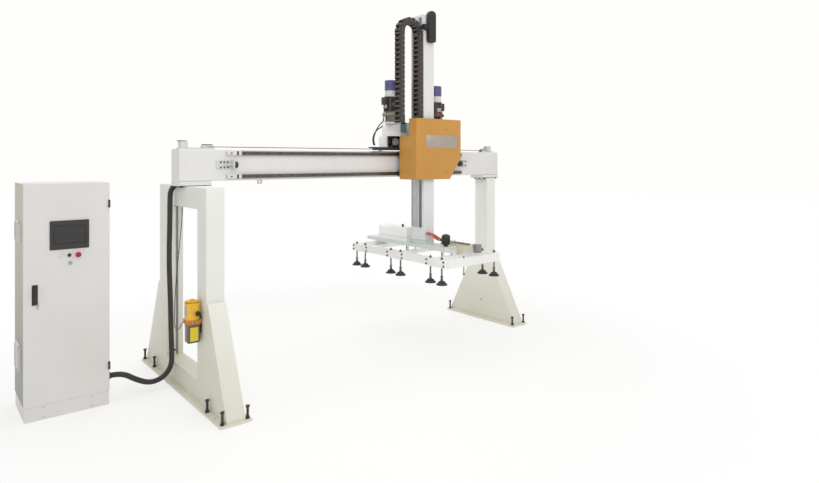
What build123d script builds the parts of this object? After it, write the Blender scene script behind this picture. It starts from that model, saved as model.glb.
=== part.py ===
from build123d import *
import math
import os

os.makedirs("parts", exist_ok=True)

# Beam gantry for lifting panels: one beam on a portal column and a single column, a carriage that
# runs along the beam, a mast that slides up and down in the carriage, and a vacuum gripper below it.
# Lengths in millimetres. Origin: centre of the left column's foot plate, on the floor.
# +X along the beam to the right column, +Y away from the viewer, +Z up.

# Driving dimensions of the stand
span = 3750.0
column_height = 1770.0
foot_thickness = 20.0
foot_width = 250.0
post_width = 150.0
column_wall = 8.0
left_foot_length = 2000.0
left_post_depth = 195.0
left_window = 780.0
left_header = 180.0
left_sill = 170.0
left_shoulder = 35.0
left_toe_margin = 15.0
right_foot_length = 1140.0
right_post_depth = 200.0
right_shoulder = 20.0
right_toe_margin = 30.0
shoulder_height = 850.0
toe_height = 45.0
wedge_inset = 10.0
drain_radius = 10.0
anchor_radius = 9.0
left_anchor_y = 820.0
right_anchor_y = 340.0
jack_x = 100.0
jack_radius = 10.0
jack_length = 120.0
jack_clearance = 0.3
jack_inset = 30.0
jack_inner_y = 670.0

# Driving dimensions of the beam and what is on it
beam_width = 200.0
beam_height = 280.0
beam_wall = 10.0
beam_overhang = 125.0
riser_length = 280.0
riser_height = 40.0
riser_width = 210.0
rail_width = 34.0
rail_height = 29.0
rail_start = 290.0
rail_end_margin = 540.0
rail_edge = 33.0
belt_width = 50.0
belt_thickness = 3.0
belt_height = 25.0
buffer_radius = 30.0
buffer_length = 42.0
buffer_left_inset = 50.0
buffer_right_inset = 25.0

# Driving dimensions of the carriage
carriage_rest = 970.0
carriage_width = 630.0
carriage_height = 455.0
carriage_plate_thickness = 20.0
carriage_drop = 15.0
carriage_gap = 48.0
block_length = 110.0
block_width = 70.0
block_height = 41.0
rail_clearance = 0.4
cover_left_margin = 14.0
cover_right_margin = 11.0
cover_clearance = 45.0
cover_lip = 36.0
cover_skirt = 10.0
cover_height = 655.0
cover_wall = 3.0
cover_corner = 22.0
cover_cut_width = 178.0
cover_cut_height = 248.0
cover_notch_depth = 160.0
cover_notch_height = 185.0

# Driving dimensions of the drives
pulley_offset = 38.0
pulley_rise = 107.0
pulley_teeth = 25
belt_pitch = 10.0
idler_radius = 20.0
shaft_radius = 10.0
shaft_clearance = 0.05
rack_module = 5.0
pinion_teeth = 32
rack_teeth = 90
rack_width = 30.0
rack_height = 35.0
mesh_clearance = 0.15
pinion_rise = 10.0
motor_radius = 62.0
motor_height = 164.0
motor_ring_height = 69.0
cap_radius = 67.0
cap_height = 114.0
motor_flange = 130.0
motor_flange_height = 123.0

# Driving dimensions of the mast and the gripper
mast_offset = 197.5
mast_width = 145.0
mast_depth = 200.0
mast_wall = 8.0
mast_reach = 645.0
mast_length = 2415.0
z_rail_pitch = 85.0
chain_bend_radius = 125.0
z_chain_height = 70.0
z_chain_width = 84.0
gripper_left_reach = 347.5
gripper_right_reach = 362.5
gripper_near = -1100.0
gripper_far = 500.0
bar_height = 80.0
bar_width = 40.0
bar_wall = 4.0
bar_drop = 200.0
cup_radius = 56.0
cup_pitch = 165.0
cup_height = 48.0
cup_stations = (-930.0, -290.0, 350.0)
stem_radius = 8.0
stem_rise = 25.0
cup_drop = 165.0
clamp_length = 290.0
clamp_thickness = 30.0

# Driving dimensions of the control cabinet
cabinet_right = -637.0
cabinet_width = 598.0
cabinet_depth = 500.0
cabinet_height = 1810.0
cabinet_front = 45.0
cabinet_wall = 3.0
plinth_height = 110.0
door_thickness = 22.0
door_gap = 2.0
hinge_radius = 8.0

# Levels and stations that follow from them
beam_bottom = column_height + riser_height
beam_top = beam_bottom + beam_height
beam_mid_z = beam_bottom + beam_height / 2
beam_start = -beam_overhang
beam_end = span + beam_overhang
beam_front = -beam_width / 2
rail_end = span - rail_end_margin
carriage_x = rail_end - carriage_rest
carriage_right = carriage_x + carriage_width
carriage_mid_x = carriage_x + carriage_width / 2
carriage_bottom = beam_bottom - carriage_drop
carriage_top = carriage_bottom + carriage_height
carriage_back = beam_front - carriage_gap
carriage_front = carriage_back - carriage_plate_thickness
z_block_face = carriage_front - carriage_gap
mast_x = carriage_x + mast_offset
mast_left = mast_x - mast_width / 2
mast_right = mast_x + mast_width / 2
mast_front = z_block_face - mast_depth
mast_bottom = carriage_bottom - mast_reach
mast_top = mast_bottom + mast_length
pulley_x = carriage_x + pulley_offset
pulley_z = beam_top + pulley_rise
pinion_z = carriage_top + pinion_rise
gripper_left = mast_x - gripper_left_reach
gripper_right = mast_x + gripper_right_reach
bar_bottom = mast_bottom - bar_drop
bar_top = bar_bottom + bar_height
cabinet_left = cabinet_right - cabinet_width
cabinet_x = (cabinet_left + cabinet_right) / 2


def bolt(head_width, head_height, radius, length):
    """A hex bolt whose head stands on z = 0 and whose shank runs down."""
    with BuildPart(mode=Mode.PRIVATE) as piece:
        with BuildSketch():
            RegularPolygon(head_width / 2, 6, major_radius=False)
        extrude(amount=head_height)
        with BuildSketch():
            Circle(radius)
        extrude(amount=-length)
    return piece.part


def save(piece, name):
    piece.part.label = name
    export_step(piece.part, f"parts/{name}.step")


def half_profile(inner, post, shoulder, toe, top):
    """Corners of a column's rear half in (Y, Z), from the head to the foot."""
    return [
        (inner, top), (post, top), (post, shoulder_height),
        (post + shoulder, shoulder_height), (toe, toe_height), (toe, foot_thickness),
    ]


# Left column: a welded portal with a wedge against each post
left_post_outer = left_window / 2 + left_post_depth
left_toe = left_foot_length / 2 - left_toe_margin
window_bottom = foot_thickness + left_sill
window_top = column_height - left_header
with BuildPart() as left_column:
    with BuildSketch():
        Rectangle(foot_width, left_foot_length)
    extrude(amount=foot_thickness)
    with BuildSketch(Plane.YZ):
        with BuildLine():
            rear = half_profile(0, left_post_outer, left_shoulder, left_toe, column_height)
            front = [(-y, z) for y, z in reversed(rear)]
            Polyline(*rear, *front[:-1], close=True)
        make_face()
        with Locations((0, (window_bottom + window_top) / 2)):
            Rectangle(left_window, window_top - window_bottom, mode=Mode.SUBTRACT)
    extrude(amount=post_width / 2, both=True)
    # The posts and wedges are box sections, so their insides are open
    for side in (1, -1):
        inner = left_window / 2 + column_wall
        outer = left_post_outer - column_wall
        with BuildSketch(Plane.YZ):
            with BuildLine():
                Polyline(
                    (side * inner, column_height - column_wall),
                    (side * outer, column_height - column_wall),
                    (side * outer, shoulder_height - column_wall),
                    (side * (outer + left_shoulder), shoulder_height - column_wall),
                    (side * (left_toe - wedge_inset), toe_height),
                    (side * (left_toe - wedge_inset), foot_thickness + column_wall),
                    (side * inner, foot_thickness + column_wall),
                    close=True,
                )
            make_face()
        extrude(amount=post_width / 2 - column_wall, both=True, mode=Mode.SUBTRACT)
        with BuildSketch(Plane.XZ.offset(-side * (inner + column_wall))):
            with Locations((0, window_bottom + 4 * drain_radius)):
                Circle(drain_radius)
        extrude(amount=3 * column_wall, both=True, mode=Mode.SUBTRACT)
    # Header and sill are box sections that open into the posts
    with BuildSketch(Plane.YZ):
        for low, high in ((window_top, column_height), (foot_thickness, window_bottom)):
            with Locations((0, (low + high) / 2)):
                Rectangle(left_window + 3 * column_wall, high - low - 2 * column_wall)
    extrude(amount=post_width / 2 - column_wall, both=True, mode=Mode.SUBTRACT)
    with Locations((0, 0, foot_thickness)):
        with GridLocations(2 * jack_x, 2 * left_anchor_y, 2, 2):
            Hole(anchor_radius, depth=2 * foot_thickness)
        with GridLocations(2 * jack_x, left_foot_length - 2 * jack_inset, 2, 2):
            Hole(jack_radius + jack_clearance, depth=2 * foot_thickness)
        with GridLocations(2 * jack_x, 2 * jack_inner_y, 2, 2):
            Hole(jack_radius + jack_clearance, depth=2 * foot_thickness)
save(left_column, "left_column")

# Right column: a single post with a wedge in front and behind
right_toe = right_foot_length / 2 - right_toe_margin
with BuildPart() as right_column:
    with BuildSketch(Plane.XY):
        with Locations((span, 0)):
            Rectangle(foot_width, right_foot_length)
    extrude(amount=foot_thickness)
    with BuildSketch(Plane.YZ.offset(span)):
        with BuildLine():
            rear = half_profile(0, right_post_depth / 2, right_shoulder, right_toe, column_height)
            front = [(-y, z) for y, z in reversed(rear)]
            Polyline(*rear, *front[:-1], close=True)
        make_face()
    extrude(amount=post_width / 2, both=True)
    inside = right_post_depth / 2 - column_wall
    with BuildSketch(Plane.YZ.offset(span)):
        with BuildLine():
            rear = [
                (inside, column_height - column_wall),
                (inside, shoulder_height - column_wall),
                (inside + right_shoulder, shoulder_height - column_wall),
                (right_toe - wedge_inset, toe_height),
                (right_toe - wedge_inset, foot_thickness + column_wall),
            ]
            Polyline(*rear, *[(-y, z) for y, z in reversed(rear)], close=True)
        make_face()
    extrude(amount=post_width / 2 - column_wall, both=True, mode=Mode.SUBTRACT)
    with BuildSketch(Plane.YZ.offset(span - post_width / 2)):
        with Locations((0, window_bottom + 4 * drain_radius)):
            Circle(drain_radius)
    extrude(amount=2 * column_wall, both=True, mode=Mode.SUBTRACT)
    with Locations((span, 0, foot_thickness)):
        with GridLocations(2 * jack_x, 2 * right_anchor_y, 2, 2):
            Hole(anchor_radius, depth=2 * foot_thickness)
        with GridLocations(2 * jack_x, right_foot_length - 2 * jack_inset, 2, 2):
            Hole(jack_radius + jack_clearance, depth=2 * foot_thickness)
save(right_column, "right_column")

# Beam: a box tube that rests on a riser plate at each end
end_plate = beam_wall
with BuildPart() as beam:
    with BuildSketch(Plane.YZ.offset(beam_start + end_plate)):
        with Locations((0, beam_mid_z)):
            RectangleRounded(beam_width, beam_height, beam_wall)
            Rectangle(beam_width - 2 * beam_wall, beam_height - 2 * beam_wall, mode=Mode.SUBTRACT)
    extrude(amount=beam_end - beam_start - 2 * end_plate)
save(beam, "beam")

riser_bolt_x = riser_length / 2 - 28.0
riser_bolt_y = riser_width / 2 - 27.0
riser_bolt_radius = 8.0
riser_centres = (beam_start + riser_length / 2, beam_end - riser_length / 2)
column_centres = (0.0, span)
overhang_bolts = []
for column_x in column_centres:
    for offset in (-jack_x, jack_x):
        for y in (-riser_bolt_y, 0, riser_bolt_y):
            overhang_bolts.append((column_x + offset, y))
with BuildPart() as beam_fittings:
    for x in (beam_start, beam_end - end_plate):
        with BuildSketch(Plane.YZ.offset(x)):
            with Locations((0, beam_mid_z)):
                RectangleRounded(beam_width, beam_height, beam_wall)
        extrude(amount=end_plate)
    for x in riser_centres:
        with BuildSketch(Plane.XY.offset(column_height)):
            with Locations((x, 0)):
                Rectangle(riser_length, riser_width)
            with Locations(*overhang_bolts):
                Circle(riser_bolt_radius, mode=Mode.SUBTRACT)
        extrude(amount=riser_height)
save(beam_fittings, "beam_fittings")

jack = bolt(30.0, 13.0, jack_radius, jack_length - 13.0)
riser_bolt = bolt(24.0, 10.0, riser_bolt_radius - 0.5, riser_height - 1.0)
with BuildPart() as frame_bolts:
    jack_places = []
    for x in (-jack_x, jack_x):
        for y in (jack_inner_y, left_foot_length / 2 - jack_inset):
            jack_places += [(x, y), (x, -y)]
        for y in (right_foot_length / 2 - jack_inset,):
            jack_places += [(span + x, y), (span + x, -y)]
    for x, y in jack_places:
        with Locations((x, y, jack_length - 13.0)):
            add(jack)
        with BuildSketch(Plane.XY.offset(foot_thickness)):
            with Locations((x, y)):
                RegularPolygon(15.0, 6, major_radius=False)
        extrude(amount=16.0)
    for x, y in overhang_bolts:
        with Locations(Location((x, y, column_height), (180, 0, 0))):
            add(riser_bolt)
save(frame_bolts, "frame_bolts")

# Linear guides on the front face of the beam
upper_rail_z = beam_top - rail_edge
lower_rail_z = beam_bottom + rail_edge + 4.0
with BuildPart() as x_rails:
    for z in (lower_rail_z, upper_rail_z):
        with BuildSketch(Plane.YZ.offset(rail_start)):
            with Locations((beam_front - rail_height / 2, z)):
                Rectangle(rail_height, rail_width)
            with Locations((beam_front - rail_height * 0.55, z + rail_width / 2)):
                Circle(3.5, mode=Mode.SUBTRACT)
            with Locations((beam_front - rail_height * 0.55, z - rail_width / 2)):
                Circle(3.5, mode=Mode.SUBTRACT)
        extrude(amount=rail_end - rail_start)
save(x_rails, "x_rails")

# Brackets bolted to the beam: belt clamps, buffer plates and the reference sensor's bracket
belt_z = beam_top + belt_height
belt_left_inset = 340.0
belt_right_inset = 215.0
belt_start = beam_start + belt_left_inset
belt_end = beam_end - belt_right_inset
clamp_base = 12.0
clamp_left_margin = 20.0
clamp_right_margin = 5.0
clamp_block = 60.0
clamp_block_height = 70.0
clamp_jaw = 100.0
buffer_plate = 10.0
buffer_base = 144.0
buffer_width = 76.0
buffer_left_x = rail_start + buffer_left_inset
buffer_right_x = rail_end - buffer_right_inset
sensor_x = 650.0
sensor_plate = 50.0
sensor_drop = 40.0
buffer_z = beam_mid_z + 3.0
buffer_y = beam_front - 40.0
with BuildPart() as beam_brackets:
    # Left: a tensioning block on a base plate; right: a fixed block
    for start, end, block in (
        (beam_start + clamp_left_margin, belt_start, beam_start + clamp_left_margin + 45.0),
        (belt_end, beam_end - clamp_right_margin, belt_end + 130.0),
    ):
        with BuildSketch(Plane.XY.offset(beam_top)):
            with Locations(((start + end) / 2, 0)):
                Rectangle(end - start, belt_width + 30.0)
        extrude(amount=clamp_base)
        with BuildSketch(Plane.XZ):
            with Locations((block, beam_top + clamp_block_height / 2)):
                Rectangle(clamp_block, clamp_block_height)
        extrude(amount=belt_width / 2 + 10.0, both=True)
    # Clamping jaws, the belt's end lies on each
    for x in (belt_start - 60.0, belt_end + 60.0):
        with BuildSketch(Plane.XZ):
            with Locations((x, (beam_top + clamp_base + belt_z - belt_thickness / 2) / 2)):
                Rectangle(clamp_jaw, belt_z - belt_thickness / 2 - beam_top - clamp_base)
            with Locations((x, belt_z + belt_thickness / 2 + clamp_base / 2)):
                Rectangle(clamp_jaw, clamp_base)
        extrude(amount=belt_width / 2, both=True)
    # Buffer brackets: a screwed base and an upright plate that faces the carriage
    for x, side in ((buffer_left_x, -1), (buffer_right_x, 1)):
        with BuildSketch(Plane.XZ.offset(-beam_front)):
            with Locations((x + side * buffer_base / 2, buffer_z)):
                RectangleRounded(buffer_base, buffer_width, 8.0)
        extrude(amount=buffer_plate)
        with BuildSketch(Plane.YZ.offset(x)):
            with Locations((buffer_y, buffer_z)):
                Rectangle(2 * (beam_front - buffer_y), buffer_width)
        extrude(amount=side * buffer_plate)
        with BuildSketch(Plane.XY.offset(buffer_z - 5.0)):
            with BuildLine():
                Polyline((x, beam_front - buffer_plate), (x + side * 90.0, beam_front - buffer_plate),
                         (x, buffer_y - 30.0), close=True)
            make_face()
        extrude(amount=10.0)
    with BuildSketch(Plane.XZ.offset(20.0)):
        with Locations((sensor_x, beam_bottom - sensor_drop / 2)):
            Rectangle(sensor_plate, sensor_drop)
            Circle(9.0, mode=Mode.SUBTRACT)
    extrude(amount=5.0)
save(beam_brackets, "beam_brackets")

with BuildPart() as x_buffers:
    for x, side in ((buffer_left_x, 1), (buffer_right_x, -1)):
        with BuildSketch(Plane.YZ.offset(x)):
            with Locations((buffer_y, buffer_z)):
                Circle(buffer_radius)
        extrude(amount=side * buffer_length)
    ends = x_buffers.faces().filter_by(Axis.X).sort_by(Axis.X)[1:3]
    fillet(ends.edges(), 14.0)
save(x_buffers, "x_buffers")

# Toothed belt: two fixed runs on top of the beam, and the loop up over the drive pulley
pulley_radius = pulley_teeth * belt_pitch / (2 * math.pi)
loop_radius = pulley_radius + belt_thickness / 2
idler_loop = idler_radius + belt_thickness / 2
idler_z = belt_z + idler_loop
idler_left_x = pulley_x - loop_radius - idler_loop
idler_right_x = pulley_x + loop_radius + idler_loop
with BuildPart() as x_belt:
    for start, end in ((belt_start - 100.0, idler_left_x), (idler_right_x, belt_end + 100.0)):
        with BuildSketch(Plane.XZ):
            with Locations(((start + end) / 2, belt_z)):
                Rectangle(end - start, belt_thickness)
        extrude(amount=belt_width / 2, both=True)
save(x_belt, "x_belt")


def loop_edge(inset):
    """The loop's outer line for a positive inset, its inner line for a negative one."""
    over = loop_radius + inset
    under = idler_loop - inset
    bottom = idler_z - under
    left_in = (idler_left_x + under, idler_z)
    right_in = (idler_right_x - under, idler_z)
    ThreePointArc((idler_left_x, bottom),
                  (idler_left_x + under * math.sin(math.pi / 4), idler_z - under * math.cos(math.pi / 4)),
                  left_in)
    Line(left_in, (pulley_x - over, pulley_z))
    ThreePointArc((pulley_x - over, pulley_z), (pulley_x, pulley_z + over), (pulley_x + over, pulley_z))
    Line((pulley_x + over, pulley_z), right_in)
    ThreePointArc(right_in,
                  (idler_right_x - under * math.sin(math.pi / 4), idler_z - under * math.cos(math.pi / 4)),
                  (idler_right_x, bottom))
    return bottom


with BuildPart() as belt_loop:
    with BuildSketch(Plane.XZ):
        with BuildLine():
            low = loop_edge(belt_thickness / 2)
            high = loop_edge(-belt_thickness / 2)
            Line((idler_left_x, low), (idler_left_x, high))
            Line((idler_right_x, low), (idler_right_x, high))
        make_face()
    extrude(amount=belt_width / 2, both=True)
save(belt_loop, "belt_loop")


def toothed_wheel(teeth, tip, root):
    """Corners of a toothed pulley's outline, with straight-sided teeth."""
    points = []
    for k in range(teeth):
        middle = 2 * math.pi * k / teeth
        for radius, share in ((root, -0.36), (tip, -0.2), (tip, 0.2), (root, 0.36)):
            angle = middle + 2 * math.pi * share / teeth
            points.append((radius * math.cos(angle), radius * math.sin(angle)))
    return points


pulley_flange = 4.0
pulley_face = pulley_radius - 0.3
tooth_depth = 2.5
drive_back = 42.0
with BuildPart() as drive_pulley:
    with BuildSketch(Plane.XZ):
        with Locations((pulley_x, pulley_z)):
            with BuildLine(mode=Mode.PRIVATE) as outline:
                Polyline(*toothed_wheel(pulley_teeth, pulley_face, pulley_face - tooth_depth), close=True)
            add(outline.line)
            make_face()
    extrude(amount=belt_width / 2 + 1.0, both=True)
    for y in (belt_width / 2 + 1.0, -belt_width / 2 - 1.0 - pulley_flange):
        with BuildSketch(Plane.XZ.offset(-y - pulley_flange)):
            with Locations((pulley_x, pulley_z)):
                Circle(pulley_radius + 6.0)
        extrude(amount=pulley_flange)
    with BuildSketch(Plane.XZ.offset(belt_width / 2 + 10.0)):
        with Locations((pulley_x, pulley_z)):
            Circle(shaft_radius)
    extrude(amount=-(belt_width + 10.0 + 75.0))
save(drive_pulley, "drive_pulley")

for name, x in (("belt_idler_left", idler_left_x), ("belt_idler_right", idler_right_x)):
    with BuildPart() as idler:
        with BuildSketch(Plane.XZ):
            with Locations((x, idler_z)):
                Circle(idler_radius - 0.3)
        extrude(amount=belt_width / 2 + 2.0, both=True)
        with BuildSketch(Plane.XZ.offset(-belt_width / 2 - 2.0)):
            with Locations((x, idler_z)):
                Circle(shaft_radius / 2 + 1.0)
        extrude(amount=-(drive_back - belt_width / 2 - 2.0 + 10.0))
    save(idler, name)

# Energy chain of the long axis: it lies in a tray behind the beam and follows at half speed
tray_front = beam_width / 2 + 4.0
tray_width = 82.0
tray_wall = 2.0
tray_height = 60.0
tray_start = 225.0
tray_end_margin = 440.0
tray_end = rail_end - tray_end_margin
tray_floor = beam_bottom + 2.0
tray_bracket = 60.0
tray_bracket_height = 50.0
tray_bracket_inset = 75.0
tray_bracket_pitch = 750.0
tray_bracket_margin = 170.0
tray_bracket_x = [tray_start + tray_bracket_inset + k * tray_bracket_pitch for k in range(3)]
tray_bracket_x.append(tray_end - tray_bracket_margin)
x_chain_height = 45.0
x_chain_width = 60.0
x_chain_radius = 95.0
x_chain_anchor = 1490.0
x_chain_bend_offset = 195.0
x_chain_arm_offset = 40.0
x_chain_bend_x = carriage_x + x_chain_bend_offset
x_chain_arm_x = carriage_x - x_chain_arm_offset
x_chain_y = tray_front + tray_width / 2
x_chain_low = tray_floor + tray_wall + 0.3 + x_chain_height / 2
x_chain_mid = x_chain_low + x_chain_radius
x_chain_high = x_chain_mid + x_chain_radius
conduit_radius = 23.0
conduit_x = -post_width / 2 - 2 * conduit_radius - 2.0
gland_y = x_chain_y
gland_rise = 32.0
conduit_top = tray_floor + gland_rise
gland_radius = conduit_radius + 9.0
gland_height = 30.0
with BuildPart() as chain_tray:
    with BuildSketch(Plane.YZ.offset(tray_start)):
        with Locations((x_chain_y, tray_floor + tray_height / 2)):
            Rectangle(tray_width, tray_height)
        with Locations((x_chain_y, tray_floor + tray_height / 2 + tray_wall)):
            Rectangle(tray_width - 2 * tray_wall, tray_height, mode=Mode.SUBTRACT)
    extrude(amount=tray_end - tray_start)
    # End plate that takes the conduit's gland
    with BuildSketch(Plane.YZ.offset(tray_start)):
        with Locations((gland_y, conduit_top)):
            RectangleRounded(tray_width, 2 * gland_rise, 6.0)
            Circle(conduit_radius - 3.0, mode=Mode.SUBTRACT)
    extrude(amount=tray_wall)
    # Brackets that carry the tray on the back of the beam
    for x in tray_bracket_x:
        with BuildSketch(Plane.XY.offset(tray_floor)):
            with Locations((x, (beam_width / 2 + tray_front) / 2)):
                Rectangle(tray_bracket, tray_front - beam_width / 2)
        extrude(amount=tray_bracket_height)
save(chain_tray, "chain_tray")

with BuildPart() as x_chain_lower:
    with BuildSketch(Plane.YZ.offset(x_chain_anchor)):
        with Locations((x_chain_y, x_chain_low)):
            Rectangle(x_chain_width, x_chain_height)
    extrude(amount=x_chain_bend_x - x_chain_anchor)
save(x_chain_lower, "x_chain_lower")

with BuildPart() as x_chain_upper:
    with BuildSketch(Plane.YZ.offset(x_chain_arm_x)):
        with Locations((x_chain_y, x_chain_high)):
            Rectangle(x_chain_width, x_chain_height)
    extrude(amount=x_chain_bend_x - x_chain_arm_x)
save(x_chain_upper, "x_chain_upper")

with BuildPart() as x_chain_bend:
    with BuildSketch(Plane.XZ.offset(-x_chain_y)):
        with Locations((x_chain_bend_x, x_chain_mid)):
            Circle(x_chain_radius + x_chain_height / 2)
            Circle(x_chain_radius - x_chain_height / 2, mode=Mode.SUBTRACT)
        with Locations((x_chain_bend_x - x_chain_radius, x_chain_mid)):
            Rectangle(2 * x_chain_radius, 4 * x_chain_radius, mode=Mode.SUBTRACT)
    extrude(amount=x_chain_width / 2, both=True)
save(x_chain_bend, "x_chain_bend")

# Conduit from the cabinet to the tray: a corrugated hose that hangs down the left column
cabinet_gland_z = 200.0
cabinet_gland_y = 145.0
conduit_route = [
    (tray_start - gland_height, gland_y, conduit_top), (conduit_x, gland_y, conduit_top),
    (conduit_x, gland_y, 1500.0), (conduit_x + 4.0, 186.0, 1100.0), (conduit_x + 18.0, 190.0, 760.0),
    (conduit_x + 20.0, 180.0, 480.0), (-102.0, 166.0, 310.0), (-102.0, 160.0, 172.0),
    (-172.0, 156.0, 82.0), (-284.0, 152.0, 58.0), (-400.0, 148.0, 112.0),
    (-516.0, cabinet_gland_y, cabinet_gland_z),
    (cabinet_right + gland_height, cabinet_gland_y, cabinet_gland_z),
]


def route_radii(points):
    """The radius of each corner: 0.45 of the shorter run over the tangent of half the turn."""
    radii = []
    for before, here, after in zip(points, points[1:], points[2:]):
        first = Vector(*here) - Vector(*before)
        second = Vector(*after) - Vector(*here)
        half_turn = math.radians(first.get_angle(second)) / 2
        radii.append(0.45 * min(first.length, second.length) / math.tan(half_turn))
    return radii


conduit_radii = route_radii(conduit_route)
print("conduit radii", [round(radius) for radius in conduit_radii])
with BuildPart() as conduit:
    with BuildLine() as conduit_line:
        FilletPolyline(*conduit_route, radius=conduit_radii)
    with BuildSketch(Plane(origin=conduit_line.line @ 0, z_dir=conduit_line.line % 0)):
        Circle(conduit_radius)
    sweep()
conduit_length = sum(edge.length for edge in conduit_line.edges())
print("conduit length", round(conduit_length), "volume share",
      round(conduit.part.volume / (math.pi * conduit_radius**2 * conduit_length), 4))
save(conduit, "conduit")

# Control cabinet: a folded body open at the front, on a plinth
body_front = cabinet_front + door_thickness + door_gap
body_back = cabinet_front + cabinet_depth
body_mid_y = (body_front + body_back) / 2
body_depth = body_back - body_front
flange_depth = 18.0
panel_joint = 0.3
plinth_mid_y = (cabinet_front + body_back) / 2
plinth_inset = 4.0
base_flange = 35.0
cabinet_anchor_inset = 24.0
vent_depth = 150.0
slot_pitch = 20.0
slot_height = 8.0
# Centre and height of each vent: one below the roof, one above the plinth
vents = ((cabinet_height - 370.0, 164.0), (plinth_height + 345.0, 210.0))
cabinet_anchor_radius = 7.0
with BuildPart() as cabinet:
    with BuildSketch(Plane.XY):
        with Locations((cabinet_x, plinth_mid_y)):
            Rectangle(cabinet_width - 2 * plinth_inset, cabinet_depth - 2 * plinth_inset)
            Rectangle(cabinet_width - 2 * plinth_inset - 2 * cabinet_wall,
                      cabinet_depth - 2 * plinth_inset - 2 * cabinet_wall, mode=Mode.SUBTRACT)
    extrude(amount=plinth_height)
    # Inward base flange with the anchor holes
    with BuildSketch():
        with Locations((cabinet_x, plinth_mid_y)):
            Rectangle(cabinet_width - 2 * plinth_inset - 2.0, cabinet_depth - 2 * plinth_inset - 2.0)
            Rectangle(cabinet_width - 2 * plinth_inset - 2.0 - 2 * base_flange,
                      cabinet_depth - 2 * plinth_inset - 2.0 - 2 * base_flange, mode=Mode.SUBTRACT)
            with GridLocations(cabinet_width - 2 * cabinet_anchor_inset,
                               cabinet_depth - 2 * cabinet_anchor_inset, 2, 2):
                Circle(cabinet_anchor_radius, mode=Mode.SUBTRACT)
    extrude(amount=cabinet_wall)
    # Floor and roof sheets, each with a lip round the door's opening
    for low, side in ((plinth_height + panel_joint, 1), (cabinet_height, -1)):
        with BuildSketch(Plane.YZ.offset(cabinet_left)):
            with Locations((body_mid_y, low + side * cabinet_wall / 2)):
                Rectangle(body_depth, cabinet_wall)
        extrude(amount=cabinet_width)
        with BuildSketch(Plane.XZ.offset(-body_front)):
            with Locations((cabinet_x, low + side * flange_depth / 2)):
                Rectangle(cabinet_width - 2 * flange_depth - 2 * panel_joint, flange_depth)
        extrude(amount=-cabinet_wall)
    # Side sheets, folded in at the front, and the rear sheet between them
    sheet_bottom = plinth_height + cabinet_wall + 2 * panel_joint
    sheet_height = cabinet_height - cabinet_wall - panel_joint - sheet_bottom
    for x, side in ((cabinet_left, 1), (cabinet_right, -1)):
        with BuildSketch(Plane.XY.offset(sheet_bottom)):
            with Locations((x + side * cabinet_wall / 2, body_mid_y)):
                Rectangle(cabinet_wall, body_depth)
            with Locations((x + side * flange_depth / 2, body_front + cabinet_wall / 2)):
                Rectangle(flange_depth, cabinet_wall)
        extrude(amount=sheet_height)
    with BuildSketch(Plane.XY.offset(sheet_bottom)):
        with Locations((cabinet_x, body_back - cabinet_wall / 2)):
            Rectangle(cabinet_width - 2 * cabinet_wall - 2 * panel_joint, cabinet_wall)
    extrude(amount=sheet_height)
    with BuildSketch(Plane.YZ.offset(cabinet_right)):
        with Locations((cabinet_gland_y, cabinet_gland_z)):
            Circle(conduit_radius - 3.0)
    extrude(amount=-2 * cabinet_wall, mode=Mode.SUBTRACT)
    for z, height in vents:
        with BuildSketch(Plane.YZ.offset(cabinet_left)):
            with Locations((body_mid_y, z)):
                with GridLocations(0, slot_pitch, 1, int(height // slot_pitch) - 2):
                    Rectangle(vent_depth, slot_height)
        extrude(amount=2 * cabinet_wall, mode=Mode.SUBTRACT)
save(cabinet, "cabinet")

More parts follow.
